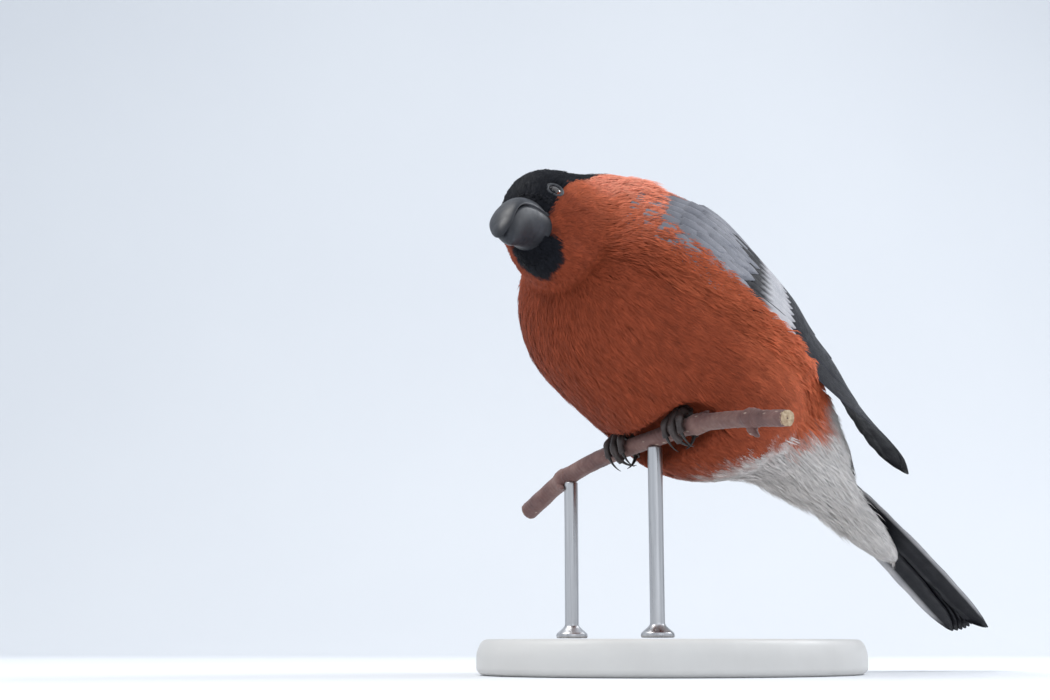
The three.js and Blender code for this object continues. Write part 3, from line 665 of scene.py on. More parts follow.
def grow(name, roots, uv, *, length, spread, strips, width, depth, rise,
         close=0.45, jitter=0.10, tint=0.10, way_at=lie):
    """Tufts of narrow tapered strips that follow the lie of the coat. length, width, depth and
    rise are numbers or one value a tuft: depth is how far in the roots lie, and rise is the level
    that the tips reach over the coat's surface."""
    count = len(roots)
    per = lambda value: np.broadcast_to(np.asarray(value, float), (count,)).repeat(strips)
    depth = np.broadcast_to(np.asarray(depth, float), (count,))
    base, normal = settle(roots, -depth)
    way = way_at(base, normal)
    aside = np.cross(normal, way)
    tuft = np.arange(count).repeat(strips)
    n = count * strips
    slant = (np.tile(np.linspace(-1, 1, strips), count) + rng.normal(0, 0.25, n)) * 0.5
    start = base[tuft] + aside[tuft] * (slant * per(spread))[:, None]
    start += way[tuft] * (rng.uniform(-0.5, 0.5, n) * per(spread))[:, None]
    reach = per(length) * rng.uniform(0.72, 1.12, n)
    turned = rng.normal(0, jitter, count)[tuft] + rng.normal(0, jitter * 0.6, n)
    tone = 1 + rng.normal(0, tint, count)[tuft] + rng.normal(0, tint * 0.5, n)
    colour = markings_and_painted_light(base)[tuft]
    half = per(width) * rng.uniform(0.75, 1.25, n) / 2
    p = start
    rings, painted_root_shade = [], []
    for k in range(STATIONS):
        t = k / (STATIONS - 1)
        level = mix(-per(depth), per(rise) + rng.normal(0, 0.06, n), sin(pi / 2 * min(1, 1.15 * t)))
        p, up = settle(p, level, 1)
        ahead = way_at(p, up)
        edge = np.cross(up, ahead)
        bend = turned - close * slant * t
        ahead = unit(ahead + edge * bend[:, None])
        side = unit(np.cross(up, ahead)) + up * (0.35 * slant)[:, None]
        shape = (0.7, 1.0, 0.78, 0.0)[k]
        if k < STATIONS - 1:
            rings += [p - side * (half * shape)[:, None], p + side * (half * shape)[:, None]]
        else:
            rings.append(p)
        # painted shade: strips darker at the root, down among the other tufts, lighter towards the tip
        painted_root_shade += [mix(0.80, 1.10, t)] * (2 if k < STATIONS - 1 else 1)
        p = p + ahead * (reach / (STATIONS - 1))[:, None]
    points = np.stack(rings, 1)
    vertices = points.shape[1]
    painted_root_shade = np.array(painted_root_shade)[None, :, None]
    tones = np.clip(colour[:, None] * tone[:, None, None] * painted_root_shade, 0, 1)
    local = np.array([(s, k / 3) for k in range(STATIONS - 1) for s in (-1, 1)] + [(0, 1)]) * 0.0012
    uvs = uv[tuft][:, None] + local[None] + (slant * 0.0008)[:, None, None]
    pattern = []
    for k in range(STATIONS - 2):
        a = 2 * k
        pattern += [(a, a + 1, a + 3), (a, a + 3, a + 2)]
    last = 2 * (STATIONS - 2)
    pattern.append((last, last + 1, last + 2))
    pattern = np.array(pattern)
    most = COAT_PIECE_TRIANGLES // (len(pattern) * strips) * strips
    order = np.argsort(rng.random(count), kind="stable")
    strips_of = (order[:, None] * strips + np.arange(strips)).ravel()
    pieces = []
    for number, first in enumerate(range(0, n, most)):
        chosen = strips_of[first : first + most]
        faces = (np.arange(len(chosen))[:, None, None] * vertices + pattern[None]).reshape(-1, 3)
        pieces.append(
            mesh_object(
                f"{name}_{number + 1}",
                mapped(BODY, points[chosen].reshape(-1, 3)),
                faces,
                COAT,
                colours=tones[chosen].reshape(-1, 3),
                uv=uvs[chosen].reshape(-1, 2),
            )
        )
    return pieces


def scatter(points, uv, rows, columns, density):
    """Random places on the skin's grid. density(middles) gives tufts for each square millimetre."""
    faces = grid_faces(rows, columns, wrap=True)
    a, b, c, d = (points[faces[:, k]] for k in range(4))
    halves = (np.linalg.norm(np.cross(p - q, r - q), axis=1) for p, q, r in ((b, a, d), (b, c, d)))
    area = sum(halves) / 2
    expected = area * density((a + b + c + d) / 4)
    number = np.floor(expected + rng.random(len(faces))).astype(int)
    face = np.arange(len(faces)).repeat(number)
    s, t = rng.random((2, len(face), 1))
    place_at = lambda values: mix(
        mix(values[0][face], values[1][face], s), mix(values[3][face], values[2][face], s), t
    )
    corner_uv = [uv[faces[:, k]].copy() for k in range(4)]
    wraps = corner_uv[1][:, 0] < corner_uv[0][:, 0]
    for k in (1, 2):
        corner_uv[k][wraps, 0] += 0.96
    return place_at((a, b, c, d)), place_at(corner_uv)


# The bird, from skin to feet

skin_points, skin_uv = skin_grid()
skin_faces = grid_faces(SKIN_ROWS, SKIN_SIDES, wrap=True)
mesh_object(
    "bird_skin",
    mapped(BODY, skin_points),
    skin_faces,
    SKIN,
    colours=markings_and_painted_light(skin_points),
    replaces=("head", "neck", "torso", "vent"),
)

TO_HEAD = HEAD_IN_BODY.inverted()
LID_RING = 1.6


def eye_seat(side):
    """A place on the coat at the side of the head, and the outward way there."""
    start, ahead = mapped(HEAD_IN_BODY, [(0, -5.4, 3.4), (side, -5.62, 3.44)])
    there = cast_out(start[None], unit(ahead - start)[None])
    return there[0], unit(coat_slope(there)[1])[0]


EYES = {side: eye_seat(side) for side in (1, -1)}


def bill_line(t):
    """Height of the bill's bent middle line, from its base at 0 to its tip at 1."""
    return -2.3 + 1.5 * np.sin(pi * np.minimum(1, t * 1.15)) - 2.4 * t**2


def bill_share(head):
    """How far places in the head frame are from the bill's middle line, 1 on its surface."""
    t = np.clip((BILL_BASE - head[:, 1]) / BILL_REACH, 0, 1)
    thin = np.sqrt(np.maximum(0.02, 1 - t**2.6))
    across = head[:, 0] / (BILL_WIDTH / 2 * thin)
    return np.hypot(across, (head[:, 2] - bill_line(t) - 0.4) / (BILL_DEPTH * 0.49 * thin))


def face_room(p):
    """0 on the eyes, lids and bill and in the room for the feet, 1 away from them."""
    head = mapped(TO_HEAD, p)
    free = np.ones(len(p))
    for seat, _ in EYES.values():
        free *= smooth(np.linalg.norm(p - seat, axis=1), LID_RING + 0.15, LID_RING + 0.5)
    free *= np.where(head[:, 1] < -9.5, smooth(bill_share(head), 0.92, 1.02), 1.0)
    return free * smooth(-groove(p), -0.2, 0.6)


def head_share(p):
    """1 on the face and crown, falling to 0 on the body."""
    head = mapped(TO_HEAD, p)
    return 1 - smooth(np.linalg.norm(head - [0, -3, 0], axis=1), 11, 22)


def coat_density(p):
    share = head_share(p)
    return mix(3.0, 8.5, share) * face_room(p)


def chosen_roots(density):
    """Places for tufts on the skin, clear of the eyes, bill and feet, with their bake places."""
    roots, spots = scatter(skin_points, skin_uv, SKIN_ROWS, SKIN_SIDES, density)
    keep = face_room(roots) > 0.5
    return roots[keep], spots[keep]


def body_coat():
    roots, spots = chosen_roots(coat_density)
    share = head_share(roots)
    small = smooth(np.linalg.norm(mapped(TO_HEAD, roots) - FACE, axis=1), 3.5, 13)
    grow(
        "coat_fine",
        roots,
        spots,
        length=mix(1.4, mix(6.6, 3.0, share), small),
        spread=mix(0.95, 0.5, share),
        strips=6,
        width=mix(0.16, mix(0.27, 0.19, share), small),
        depth=coat_depth(roots),
        rise=rng.normal(0.0, 0.1, len(roots)),
    )


# The flank's feathers lap over the wing's fore and lower edges, up to these heights (body Z)
# at these places along the spine.
LAP_AT = [-26.0, -21.7, -19.7, -18.4, -14.0, -5.7, 1.9, 12.8, 22.7, 34.4, 44.0]
LAP_TO = [17.0, 9.0, 4.6, 0.8, -2.0, -2.6, -2.0, -1.0, 1.0, 4.4, 7.0]
LAP_LEVEL = 2.3


def lap_level(p):
    """How high tufts stand to lie over the wing, for places on the coat."""
    x, y, z = p.T
    wing_low = 2 + 22 * np.sin(np.radians(np.interp(y, [-24, -4, 20, 44], [-2, 6, 20, 34]) - 23))
    under = smooth(z - wing_low, -6.0, 0.5) * smooth(y, -34, -12) * (1 - smooth(y, 30, 44))
    near_side = mix(0.35, 1.0, smooth(x, -8, 8))
    return under * near_side * smooth(np.abs(x), 5, 12) * (1 - smooth(z, 11, 17))


def flank_coat():
    def density(p):
        y, z = p.T[1:]
        inside = 1 - smooth(z - np.interp(y + 2.5, LAP_AT, LAP_TO), -1.8, -0.6)
        return 4.2 * smooth(lap_level(p), 0.0, 0.3) * inside

    roots, spots = chosen_roots(density)
    level = lap_level(roots)
    grow(
        "coat_flank",
        roots,
        spots,
        length=mix(5.5, 4.4, level),
        spread=0.95,
        strips=6,
        width=0.27,
        depth=coat_depth(roots),
        rise=mix(0.2, LAP_LEVEL, level) + rng.normal(0, 0.15, len(roots)),
    )


def mask_coat():
    """Short black bristles that lie forward over the bill's base."""

    def density(p):
        head = mapped(TO_HEAD, p)
        near = 1 - smooth(bill_share(head), 1.25, 1.5)
        return 16 * near * (head[:, 1] < -6.5) * (mask(head) > 0.9)

    roots, spots = chosen_roots(density)
    grow(
        "coat_mask",
        roots,
        spots,
        length=1.25,
        spread=0.3,
        strips=5,
        width=0.15,
        depth=coat_depth(roots),
        rise=0.35 + rng.normal(0, 0.08, len(roots)),
        way_at=lambda p, normal: -lie(p, normal),
    )


def vent_coat():
    """Loose white wisps at the vent and under the tail."""

    def density(p):
        y, z = p.T[1:]
        return 1.2 * smooth(y, 28, 36) * (1 - smooth(y, 60, 64)) * smooth(-z, -2, 3)

    roots, spots = chosen_roots(density)
    grow(
        "coat_vent",
        roots,
        spots,
        length=8.0,
        spread=1.3,
        strips=5,
        width=0.24,
        depth=coat_depth(roots),
        rise=0.45 + np.abs(rng.normal(0, 0.35, len(roots))),
        jitter=0.15,
        close=0.1,
    )


body_coat()
flank_coat()
mask_coat()
vent_coat()

# Feathers on a sheet: wings and tail


class Sheet:
    """A curved sheet along a middle line, bent round it: the free part of a wing, or the tail."""

    def __init__(self, line, normals, curl):
        self.points, self.tangents, self.length = spline(line, 60)
        self.normals = np.asarray(normals, float)
        self.curl = curl

    def point(self, along, across, height):
        t = np.clip(along / self.length, 0, 1)
        at = t * 60
        pick = lambda values, place: np.stack(
            [np.interp(place, np.arange(len(values)), values[:, k]) for k in range(3)], -1
        )
        centre = pick(self.points, at)
        tangent = unit(pick(self.tangents, at))
        centre = centre + tangent * (along - t * self.length)[..., None]
        normal = pick(self.normals, t * (len(self.normals) - 1))
        normal = unit(normal - tangent * (normal * tangent).sum(-1)[..., None])
        over = np.cross(normal, tangent)
        curl = mix(self.curl[0], self.curl[1], t)
        bend = across / curl
        return (
            centre
            + over * ((curl + height) * np.sin(bend))[..., None]
            + normal * ((curl + height) * np.cos(bend) - curl)[..., None]
        )


WING_RESTS = [(-24, -2), (-4, 6), (20, 20), (44, 34)]
WING_LEAVES = (32, 60)
COAT_REACH = 23.0
WING_LENGTH = 92.0
TAIL_LENGTH = 70.0


def on_coat(side, along, angle, lift):
    shape = np.shape(angle)
    along, angle, lift = (np.broadcast_to(v, shape).ravel() for v in (along, angle, lift))
    start = np.stack([0 * along, along, 0 * along + 2], -1)
    way = np.stack([side * np.cos(np.radians(angle)), 0 * along, np.sin(np.radians(angle))], -1)
    place_there = cast_out(start, way)
    normal = unit(coat_slope(place_there)[1])
    return (place_there + normal * lift[:, None]).reshape(*shape, 3), normal.reshape(*shape, 3)


class Wing:
    """A folded wing's sheet, hugging the coat at the front and free towards its tip."""

    def __init__(self, side):
        self.side = side
        rests = [on_coat(side, np.array([float(y)]), np.array([float(a)]), 0.0) for y, a in WING_RESTS[:3]]
        line = [rest[0][0] for rest in rests] + [np.array([side * 9.2 + 0.3, 62, 10 - side * 0.2])]
        normals = [rest[1][0] for rest in rests] + [np.array([side * 0.12, 0.05, 0.99])]
        self.free = Sheet(line, normals, (20, 44))

    def point(self, along, across, height):
        """across is dorsal on both wings."""
        far = self.free.point(along, across * self.side, height)
        hug = 1 - smooth(along, *WING_LEAVES)
        y = WING_RESTS[0][0] + 0.97 * along + 0.3 * self.side
        rests = np.array(WING_RESTS, float)
        angle = np.interp(y, rests[:, 0], rests[:, 1]) + np.degrees(across / COAT_REACH)
        near = far.copy()
        close = hug > 0
        near[close] = on_coat(self.side, y[close], angle[close], height[close])[0]
        return mix(far, near, hug[..., None])


VANE_CUP = 0.35  # how far the edges bend down
VANE_DIVE = 1.2  # how far the root runs down into the coat


def vane(sheet, root, tip, width, height, *, paint, tilt=0.0, bow=0.0, rows=22, columns=9,
         outer=0.5, thick=0.26, blunt=7):
    """One closed feather. outer is the share of its width on the side of less across; paint(t, s)
    gives colours for places along it, 0 to 1, and across it, -1 to 1."""
    t = np.linspace(0, 1, rows) ** 0.85
    t[-1] = 1
    s = np.linspace(-1, 1, columns)
    tt, ss = np.meshgrid(t, s, indexing="ij")
    along = mix(root[0], tip[0], tt)
    shape = mix(0.42, 1.0, smooth(tt, 0.0, 0.4)) * np.sqrt(np.clip(1 - 0.93 * tt**blunt, 0.0, 1))
    wave = 0.035 * np.sin(tt * 41 + root[1] * 3) * np.abs(ss)
    ragged = 1 + wave + 0.02 * rng.normal(size=tt.shape) * np.abs(ss)
    half = np.where(ss < 0, outer * 2, (1 - outer) * 2) * width / 2 * shape * ragged
    along = along - np.abs(ss) ** 2 * width * 0.22 * smooth(tt, 0.0, 0.3)
    middle = mix(root[1], tip[1], tt) + bow * 4 * tt * (1 - tt)
    across = middle + ss * half
    crown = -VANE_CUP * ss**2
    level = height + tilt * ss * half + crown - VANE_DIVE * (1 - smooth(tt, 0.0, 0.16))
    thin = thick * (0.35 + 0.65 * (1 - np.abs(ss))) / 2 * mix(1, 0.6, tt)
    shaft = 0.22 * np.exp(-((ss / 0.13) ** 2)) * (1 - 0.8 * tt)
    upper = sheet.point(along, across, level + thin + shaft)
    lower = sheet.point(along, across, level - thin - 0.6 * shaft)
    colour = paint(tt, ss)
    count = rows * columns
    top = grid_faces(rows, columns)
    bottom = top[:, ::-1] + count
    rim = np.concatenate(
        [
            np.arange(columns),
            np.arange(1, rows) * columns + columns - 1,
            (rows - 1) * columns + np.arange(columns - 2, -1, -1),
            np.arange(rows - 2, 0, -1) * columns,
        ]
    )
    following = np.roll(rim, -1)
    walls = np.stack([rim, rim + count, following + count, following], -1)
    points = np.concatenate([upper.reshape(-1, 3), lower.reshape(-1, 3)])
    faces = np.concatenate([top, bottom, walls])
    # painted shade: the lower face gets darker copies of the upper face's colours
    colours = np.concatenate([colour.reshape(-1, 3), colour.reshape(-1, 3) * 0.8 + 0.004])
    lay = np.stack([tt * width * 0.35 + np.abs(ss) * 0.5, ss * 0.2], -1).reshape(-1, 2)
    return points, faces, colours, np.concatenate([lay, lay])


def feather_piece(name, feathers, replaces):
    """One piece of many feathers, each with its own patch of the bake map."""
    points, faces, colours, lays, spots = [], [], [], [], []
    start = 0
    columns = int(np.ceil(sqrt(len(feathers))))
    for i, (p, f, c, lay) in enumerate(feathers):
        points.append(p)
        faces.append(f + start)
        colours.append(c)
        lays.append(lay)
        low, high = lay.min(0), lay.max(0)
        inside = (lay - low) / (high - low) * 0.9 + 0.05
        half = np.zeros((len(lay), 1))
        half[len(lay) // 2 :] = 0.5
        inside = np.concatenate([inside[:, :1], inside[:, 1:] * 0.48 + half], axis=1)
        spots.append((inside + [i % columns, i // columns]) / columns)
        start += len(p)
    points, faces = np.concatenate(points), np.concatenate(faces)
    piece = mesh_object(
        name,
        mapped(BODY, points),
        faces,
        VANE,
        colours=np.concatenate(colours),
        uv=np.concatenate(spots),
        replaces=replaces,
    )
    layer = piece.data.uv_layers.new(name="vane")
    layer.data.foreach_set("uv", np.concatenate(lays).astype(np.float32)[faces.ravel()].ravel())
    piece.data.uv_layers["OFBake"].active_render = True
    return piece


INK = np.array([0.0075, 0.0075, 0.0115])
DUSK = np.array([0.021, 0.021, 0.026])
PALE = np.array([0.52, 0.515, 0.53])


def paint_flight(t, s):
    edge = smooth(-s, 0.86, 1.0) * smooth(t, 0.15, 0.4)
    base = mix(INK, DUSK, smooth(t, 0.75, 1.0)[..., None] * 0.8)
    return mix(base, np.array([0.075, 0.075, 0.088]), 0.8 * edge[..., None])


def paint_bar(t, s):
    """Greater coverts: black with broad pale tips that make the wing bar."""
    tip = smooth(t + 0.05 * np.cos(7 * s), 0.56, 0.70)
    return mix(INK, PALE, tip[..., None])


def paint_grey(t, s):
    return mix(GREY * 0.8, GREY * 1.15, t[..., None]) + 0 * s[..., None]


def paint_tail(side):
    def paint(t, s):
        outer = smooth(s * side, 0.35, 0.6) * smooth(t, 0.05, 0.2) * (1 - smooth(t, 0.90, 0.99))
        return mix(INK, np.array([0.60, 0.59, 0.59]), outer[..., None])

    return paint


def paint_black(t, s):
    return mix(INK, DUSK * 0.8, smooth(np.abs(s), 0.6, 1.0)[..., None] * 0.5)


PRIMARY_DROPS = (0.0, 0.9, 2.4, 5.4, 9.0, 12.6, 16.0, 19.2)  # of their tips, from the longest one's
PRIMARIES = len(PRIMARY_DROPS)
SECONDARIES = 5
TERTIALS = 3
GREATER_COVERTS = 9
PRIMARY_COVERTS = 5


def wing(side):
    sheet = Wing(side)
    feathers = []

    def add(**spec):
        feathers.append(vane(sheet, tilt=-0.055, **spec))

    for i, drop in enumerate(PRIMARY_DROPS):
        k = i * 5 / (PRIMARIES - 1)
        add(root=(24 + k, -8 + 0.6 * k), tip=(WING_LENGTH - drop, -2.4 + 1.5 * k), width=8.4,
            height=0.45 + 0.15 * k, bow=-1.2, paint=paint_flight, outer=0.36, rows=30)
    for i in range(SECONDARIES):
        k = i * 2 / (SECONDARIES - 1)
        add(root=(22, -4 + 1.4 * k), tip=(70 - 1.8 * k, -0.4 + 1.4 * k), width=7.6, height=1.13 + 0.17 * k,
            bow=-0.5, paint=paint_flight, outer=0.4)
    for i in range(TERTIALS):
        add(root=(20, 0.6 + 1.4 * i), tip=(66 - 7 * i, 2 + 1.2 * i), width=7.8, height=1.5 + 0.16 * i,
            paint=paint_flight, outer=0.45)
    for i in range(PRIMARY_COVERTS):
        k = i / 2
        add(root=(15, -8.5 + k), tip=(47 - 5 * k, -8.4 + 1.1 * k), width=3.4, height=1.15 + 0.2 * k,
            paint=paint_flight, rows=12, columns=7)
    for i in range(GREATER_COVERTS):
        k = i * 5 / (GREATER_COVERTS - 1)
        add(root=(17 - 0.4 * k, -7.5 + 2.2 * k), tip=(41.5 - 1.1 * k, -8 + 2.3 * k), width=4.3,
            height=1.45 + 0.12 * k, paint=paint_bar, rows=16, columns=7, blunt=10)
    # lesser and median coverts: rows of small grey feathers over the shoulder
    for row, start in enumerate(np.linspace(17.5, -2.5, 8)):
        across = np.linspace(-8.2, 6.6, 9 if row % 2 else 8)
        fore = mix(0.3, 1, float(smooth(np.array(start), -4, 9)))
        for a in across:
            fade = sqrt(max(0.05, 1 - ((a + 0.8) / 8.6) ** 2))
            wobble = rng.normal(0, 0.35, 3)
            add(root=(start + wobble[0], a * (0.9 if row > 5 else 1) + wobble[1]),
                tip=(start + 9.0 + wobble[2], a * 1.02 + wobble[1]), width=3.6,
                height=(0.9 + 1.2 * fade + 0.07 * row) * fore,
                paint=paint_grey, rows=9, columns=5, blunt=5, thick=0.16)
    word = "left" if side > 0 else "right"
    return feather_piece(f"wing_{word}_feathers", feathers, (f"wing_{word}",))


def tail():
    sheet = Sheet([(0, 40, 3), (0, 75, 3.6), (-2.5, 40 + TAIL_LENGTH, 4.6)], [(0, 0, 1), (0, 0, 1)], (22, 60))
    feathers = []
    for i in range(12):
        k = i - 5.5
        out = abs(k)
        side = 1 if k > 0 else -1
        outermost = out > 5
        reach = TAIL_LENGTH - 1.0 + 0.5 * out - 0.1 * out**2
        # across runs towards the bird's right on this sheet
        feathers.append(
            vane(sheet, root=(0, 0.55 * k), tip=(reach, 0.9 * k), width=7.2,
                 height=0.34 * (2.75 - out), bow=0.06 * k, tilt=0.05 * side, outer=0.5 + 0.12 * side, rows=26,
                 paint=paint_tail(side) if outermost else paint_black, blunt=9)
        )
    return feather_piece("tail_feathers", feathers, ("tail",))


wing(1)
wing(-1)
tail()

# Eyes and bill


def ball(rows, sides):
    """Unit directions on a sphere, and its faces."""
    polar = np.linspace(0.02, pi - 0.02, rows)
    turn_by = np.linspace(0, 2 * pi, sides, endpoint=False)
    a, b = np.meshgrid(polar, turn_by, indexing="ij")
    points = np.stack([np.sin(a) * np.cos(b), np.sin(a) * np.sin(b), np.cos(a)], -1)
    return points.reshape(-1, 3), grid_faces(rows, sides, wrap=True)


def eyes():
    directions, faces = ball(36, 48)
    for side, (seat, normal) in EYES.items():
        word = "left" if side > 0 else "right"
        globe = seat - normal * EYE_SINK + directions * EYE_RADIUS
        mesh_object(f"eyeball_{word}", mapped(BODY, globe), faces, eye_material(),
                    replaces=(f"eye_{word}",))
        across = unit(np.cross(normal, [0.0, 0.3, 1.0]))
        over = np.cross(normal, across)
        turns = (np.linspace(0, 2 * pi, count, endpoint=False) for count in (72, 14))
        around, ring = np.meshgrid(*turns, indexing="ij")
        beads = 1 + 0.10 * np.sin(around * 26) * np.cos(ring)
        out = LID_RING + 0.34 * np.cos(ring) * beads
        up = -0.16 + 0.28 * np.sin(ring) * beads
        points = (
            seat
            + (out * np.cos(around))[..., None] * across
            + (0.9 * out * np.sin(around))[..., None] * over
            + up[..., None] * normal
        )
        lid = np.concatenate([points, points[:1]])
        mesh_object(f"eyelid_{word}", mapped(BODY, lid.reshape(-1, 3)), grid_faces(73, 14, wrap=True),
                    lid_material())


def mandible_points(way, share, narrowing, rows=64, columns=49):
    """A mandible's domed surface, flat along its cutting edge, in the head frame."""
    t = np.linspace(0, 1, rows) ** 0.85
    angle = np.linspace(0, pi, columns)
    tt, aa = np.meshgrid(t, angle, indexing="ij")
    edge = bill_line(tt * share) + EDGE_ARCH * np.sin(pi * (tt * share) ** 1.6) + way * 0.13
    if way > 0:
        ridge = bill_line(tt) + 0.3 + 0.545 * BILL_DEPTH * np.sqrt(np.maximum(0, 1 - tt**2.3))
    else:
        ridge = bill_line(tt * share) - 0.25 - 0.43 * BILL_DEPTH * np.sqrt(np.maximum(0, 1 - tt**2.6))
    dome = np.sin(aa)
    width = BILL_WIDTH / 2 * np.sqrt(np.maximum(0.0025, 1 - tt**2.6)) * mix(1, 0.9, tt)
    x = narrowing * width * np.cos(aa) * (1 - 0.12 * dome)
    z = mix(edge, ridge, dome**0.85)
    points = np.stack([x, BILL_BASE - BILL_REACH * share * tt, z], -1)
    growth = 0.035 * np.sin(tt * 46 + 2.0 * np.sin(aa * 3)) * dome * (1 - tt)
    centre = np.stack([0 * x, points[..., 1], (edge + ridge) / 2], -1)
    points = points + unit(points - centre) * growth[..., None]
    if way > 0:
        # the slits of the nostrils, beside the ridge near the feathers
        for side in (1, -1):
            spot_angle = radians(52 if side > 0 else 128)
            reach = np.hypot((tt - 0.36) * 14.6 / 0.8, (aa - spot_angle) * 4.4 / 0.42)
            pit = np.exp(-(reach**2.4))
            rim = 0.09 * np.exp(-(((reach - 1.35) / 0.35) ** 2))
            points = points - unit(points - centre) * (0.62 * pit - rim)[..., None]
    return points


def bill():
    for name, way, share, narrowing in (("upper", 1, 1.0, 1.0), ("lower", -1, LOWER_SHARE, 0.97)):
        shell = mandible_points(way, share, narrowing)
        # the floor of the mandible runs from its right edge back to its left one
        floor_points = mix(shell[:, -1:], shell[:, :1], np.linspace(0, 1, 8)[1:-1][None, :, None])
        rings = np.concatenate([shell, floor_points], axis=1)
        points, faces = closed_rings(rings)
        mesh_object(f"bill_{name}_horn", mapped(HEAD, points), faces, HORN,
                    replaces=(f"bill_{name}",))


# Feet, twig and stand


def twig_frame(x):
    point, along = twig_at(twig_share(x))
    back = unit(np.array([0.0, 1.0, 0.0]) - along * along[1])
    up = np.cross(along, back)
    matrix = Matrix.Identity(4)
    for row in range(3):
        for column, axis in enumerate((along, back, up, point)):
            matrix[row][column] = axis[row]
    return matrix


TOE_RADIUS = 0.85
WRAP = TWIG_RADIUS + 0.3 + TOE_RADIUS
TOES = (
    # from and to across the foot, turn in degrees round the twig, radius
    (-0.6, -2.3, 150, 0.8),
    (0, 0.1, 185, 0.88),
    (0.6, 2.3, 150, 0.8),
    (0.1, 0.3, -140, 0.92),
)


def scutes(count, depth):
    """Overlapping plates across the front of a toe or shank, low ridges with sharp lower rims."""

    def bumps(t, angle):
        phase = (t * count) % 1.0
        front = 0.35 + 0.65 * np.clip(np.cos(angle), 0, 1)
        return depth * front * (phase**1.6 - 0.4)

    return bumps


def feet():
    for side, word in ((1, "left"), (-1, "right")):
        frame_here = twig_frame(side * FOOT_SPREAD)
        pieces, claws = [], []
        palm = mapped(frame_here, [(0, 2.1, 3.7), (0, 1.0, 3.75), (0, 0.0, 3.6), (0, -1.3, 3.0)])
        pieces.append(closed_rings(tube(palm, lambda t: 1.22 - 0.12 * t, 30, 28, bumps=scutes(5, 0.07))))
        for low, high, turned, radius in TOES:
            start = 62 if turned > 0 else 112

            def at(angle, across, out):
                a = radians(angle)
                return (across, cos(a) * (WRAP + out), sin(a) * (WRAP + out))

            path = [at(start + turned * t, mix(low, high, min(1, 1.6 * t)), 0.5 * (1 - t) ** 2)
                    for t in np.linspace(0, 1, 9)]
            pads = lambda t, r=radius: r * (1 - 0.16 * t + 0.11 * np.cos(6 * pi * t))
            pieces.append(closed_rings(tube(mapped(frame_here, path), pads, 96, 26, bumps=scutes(17, 0.10))))
            hook = 62 if turned > 0 else -62
            claw = [at(start + turned + hook * t, high, 0.05 + 1.32 * max(0, t) ** 1.6)
                    for t in (-0.12, 0.1, 0.3, 0.5, 0.7, 0.85, 1)]
            thin = lambda t: mix(0.56, 0.07, t**0.8)
            claws.append(closed_rings(tube(mapped(frame_here, claw), thin, 30, 18, flatten=0.75)))
        points, faces = joined(pieces)
        mesh_object(f"foot_{word}_scales", points, faces, FOOT_SKIN,
                    replaces=(f"foot_{word}",))
        points, faces = joined(claws)
        mesh_object(f"claws_{word}", points, faces, CLAW)
        way = unit(np.array([-0.1 * side, 0.45, 0.88]))
        heel = mapped(frame_here, [(0, 1.6, 5.2)])[0]
        shank = [heel - way * 1.7, heel + way * 1.5, heel + way * 4.3, heel + way * 7]
        stem = lambda t: 1.02 + 0.16 * (2 * t - 1) ** 4
        points, faces = closed_rings(tube(shank, stem, 80, 26, bumps=scutes(8, 0.10)))
        mesh_object(f"leg_{word}_scales", points, faces, FOOT_SKIN, replaces=(f"leg_{word}",))


TWIG_KNOTS = (0.16, 0.66, 0.86)
BUDS = ((0.155, 70, 2.6), (0.655, 250, 2.3), (0.855, 110, 2.8), (0.42, 225, 1.7))


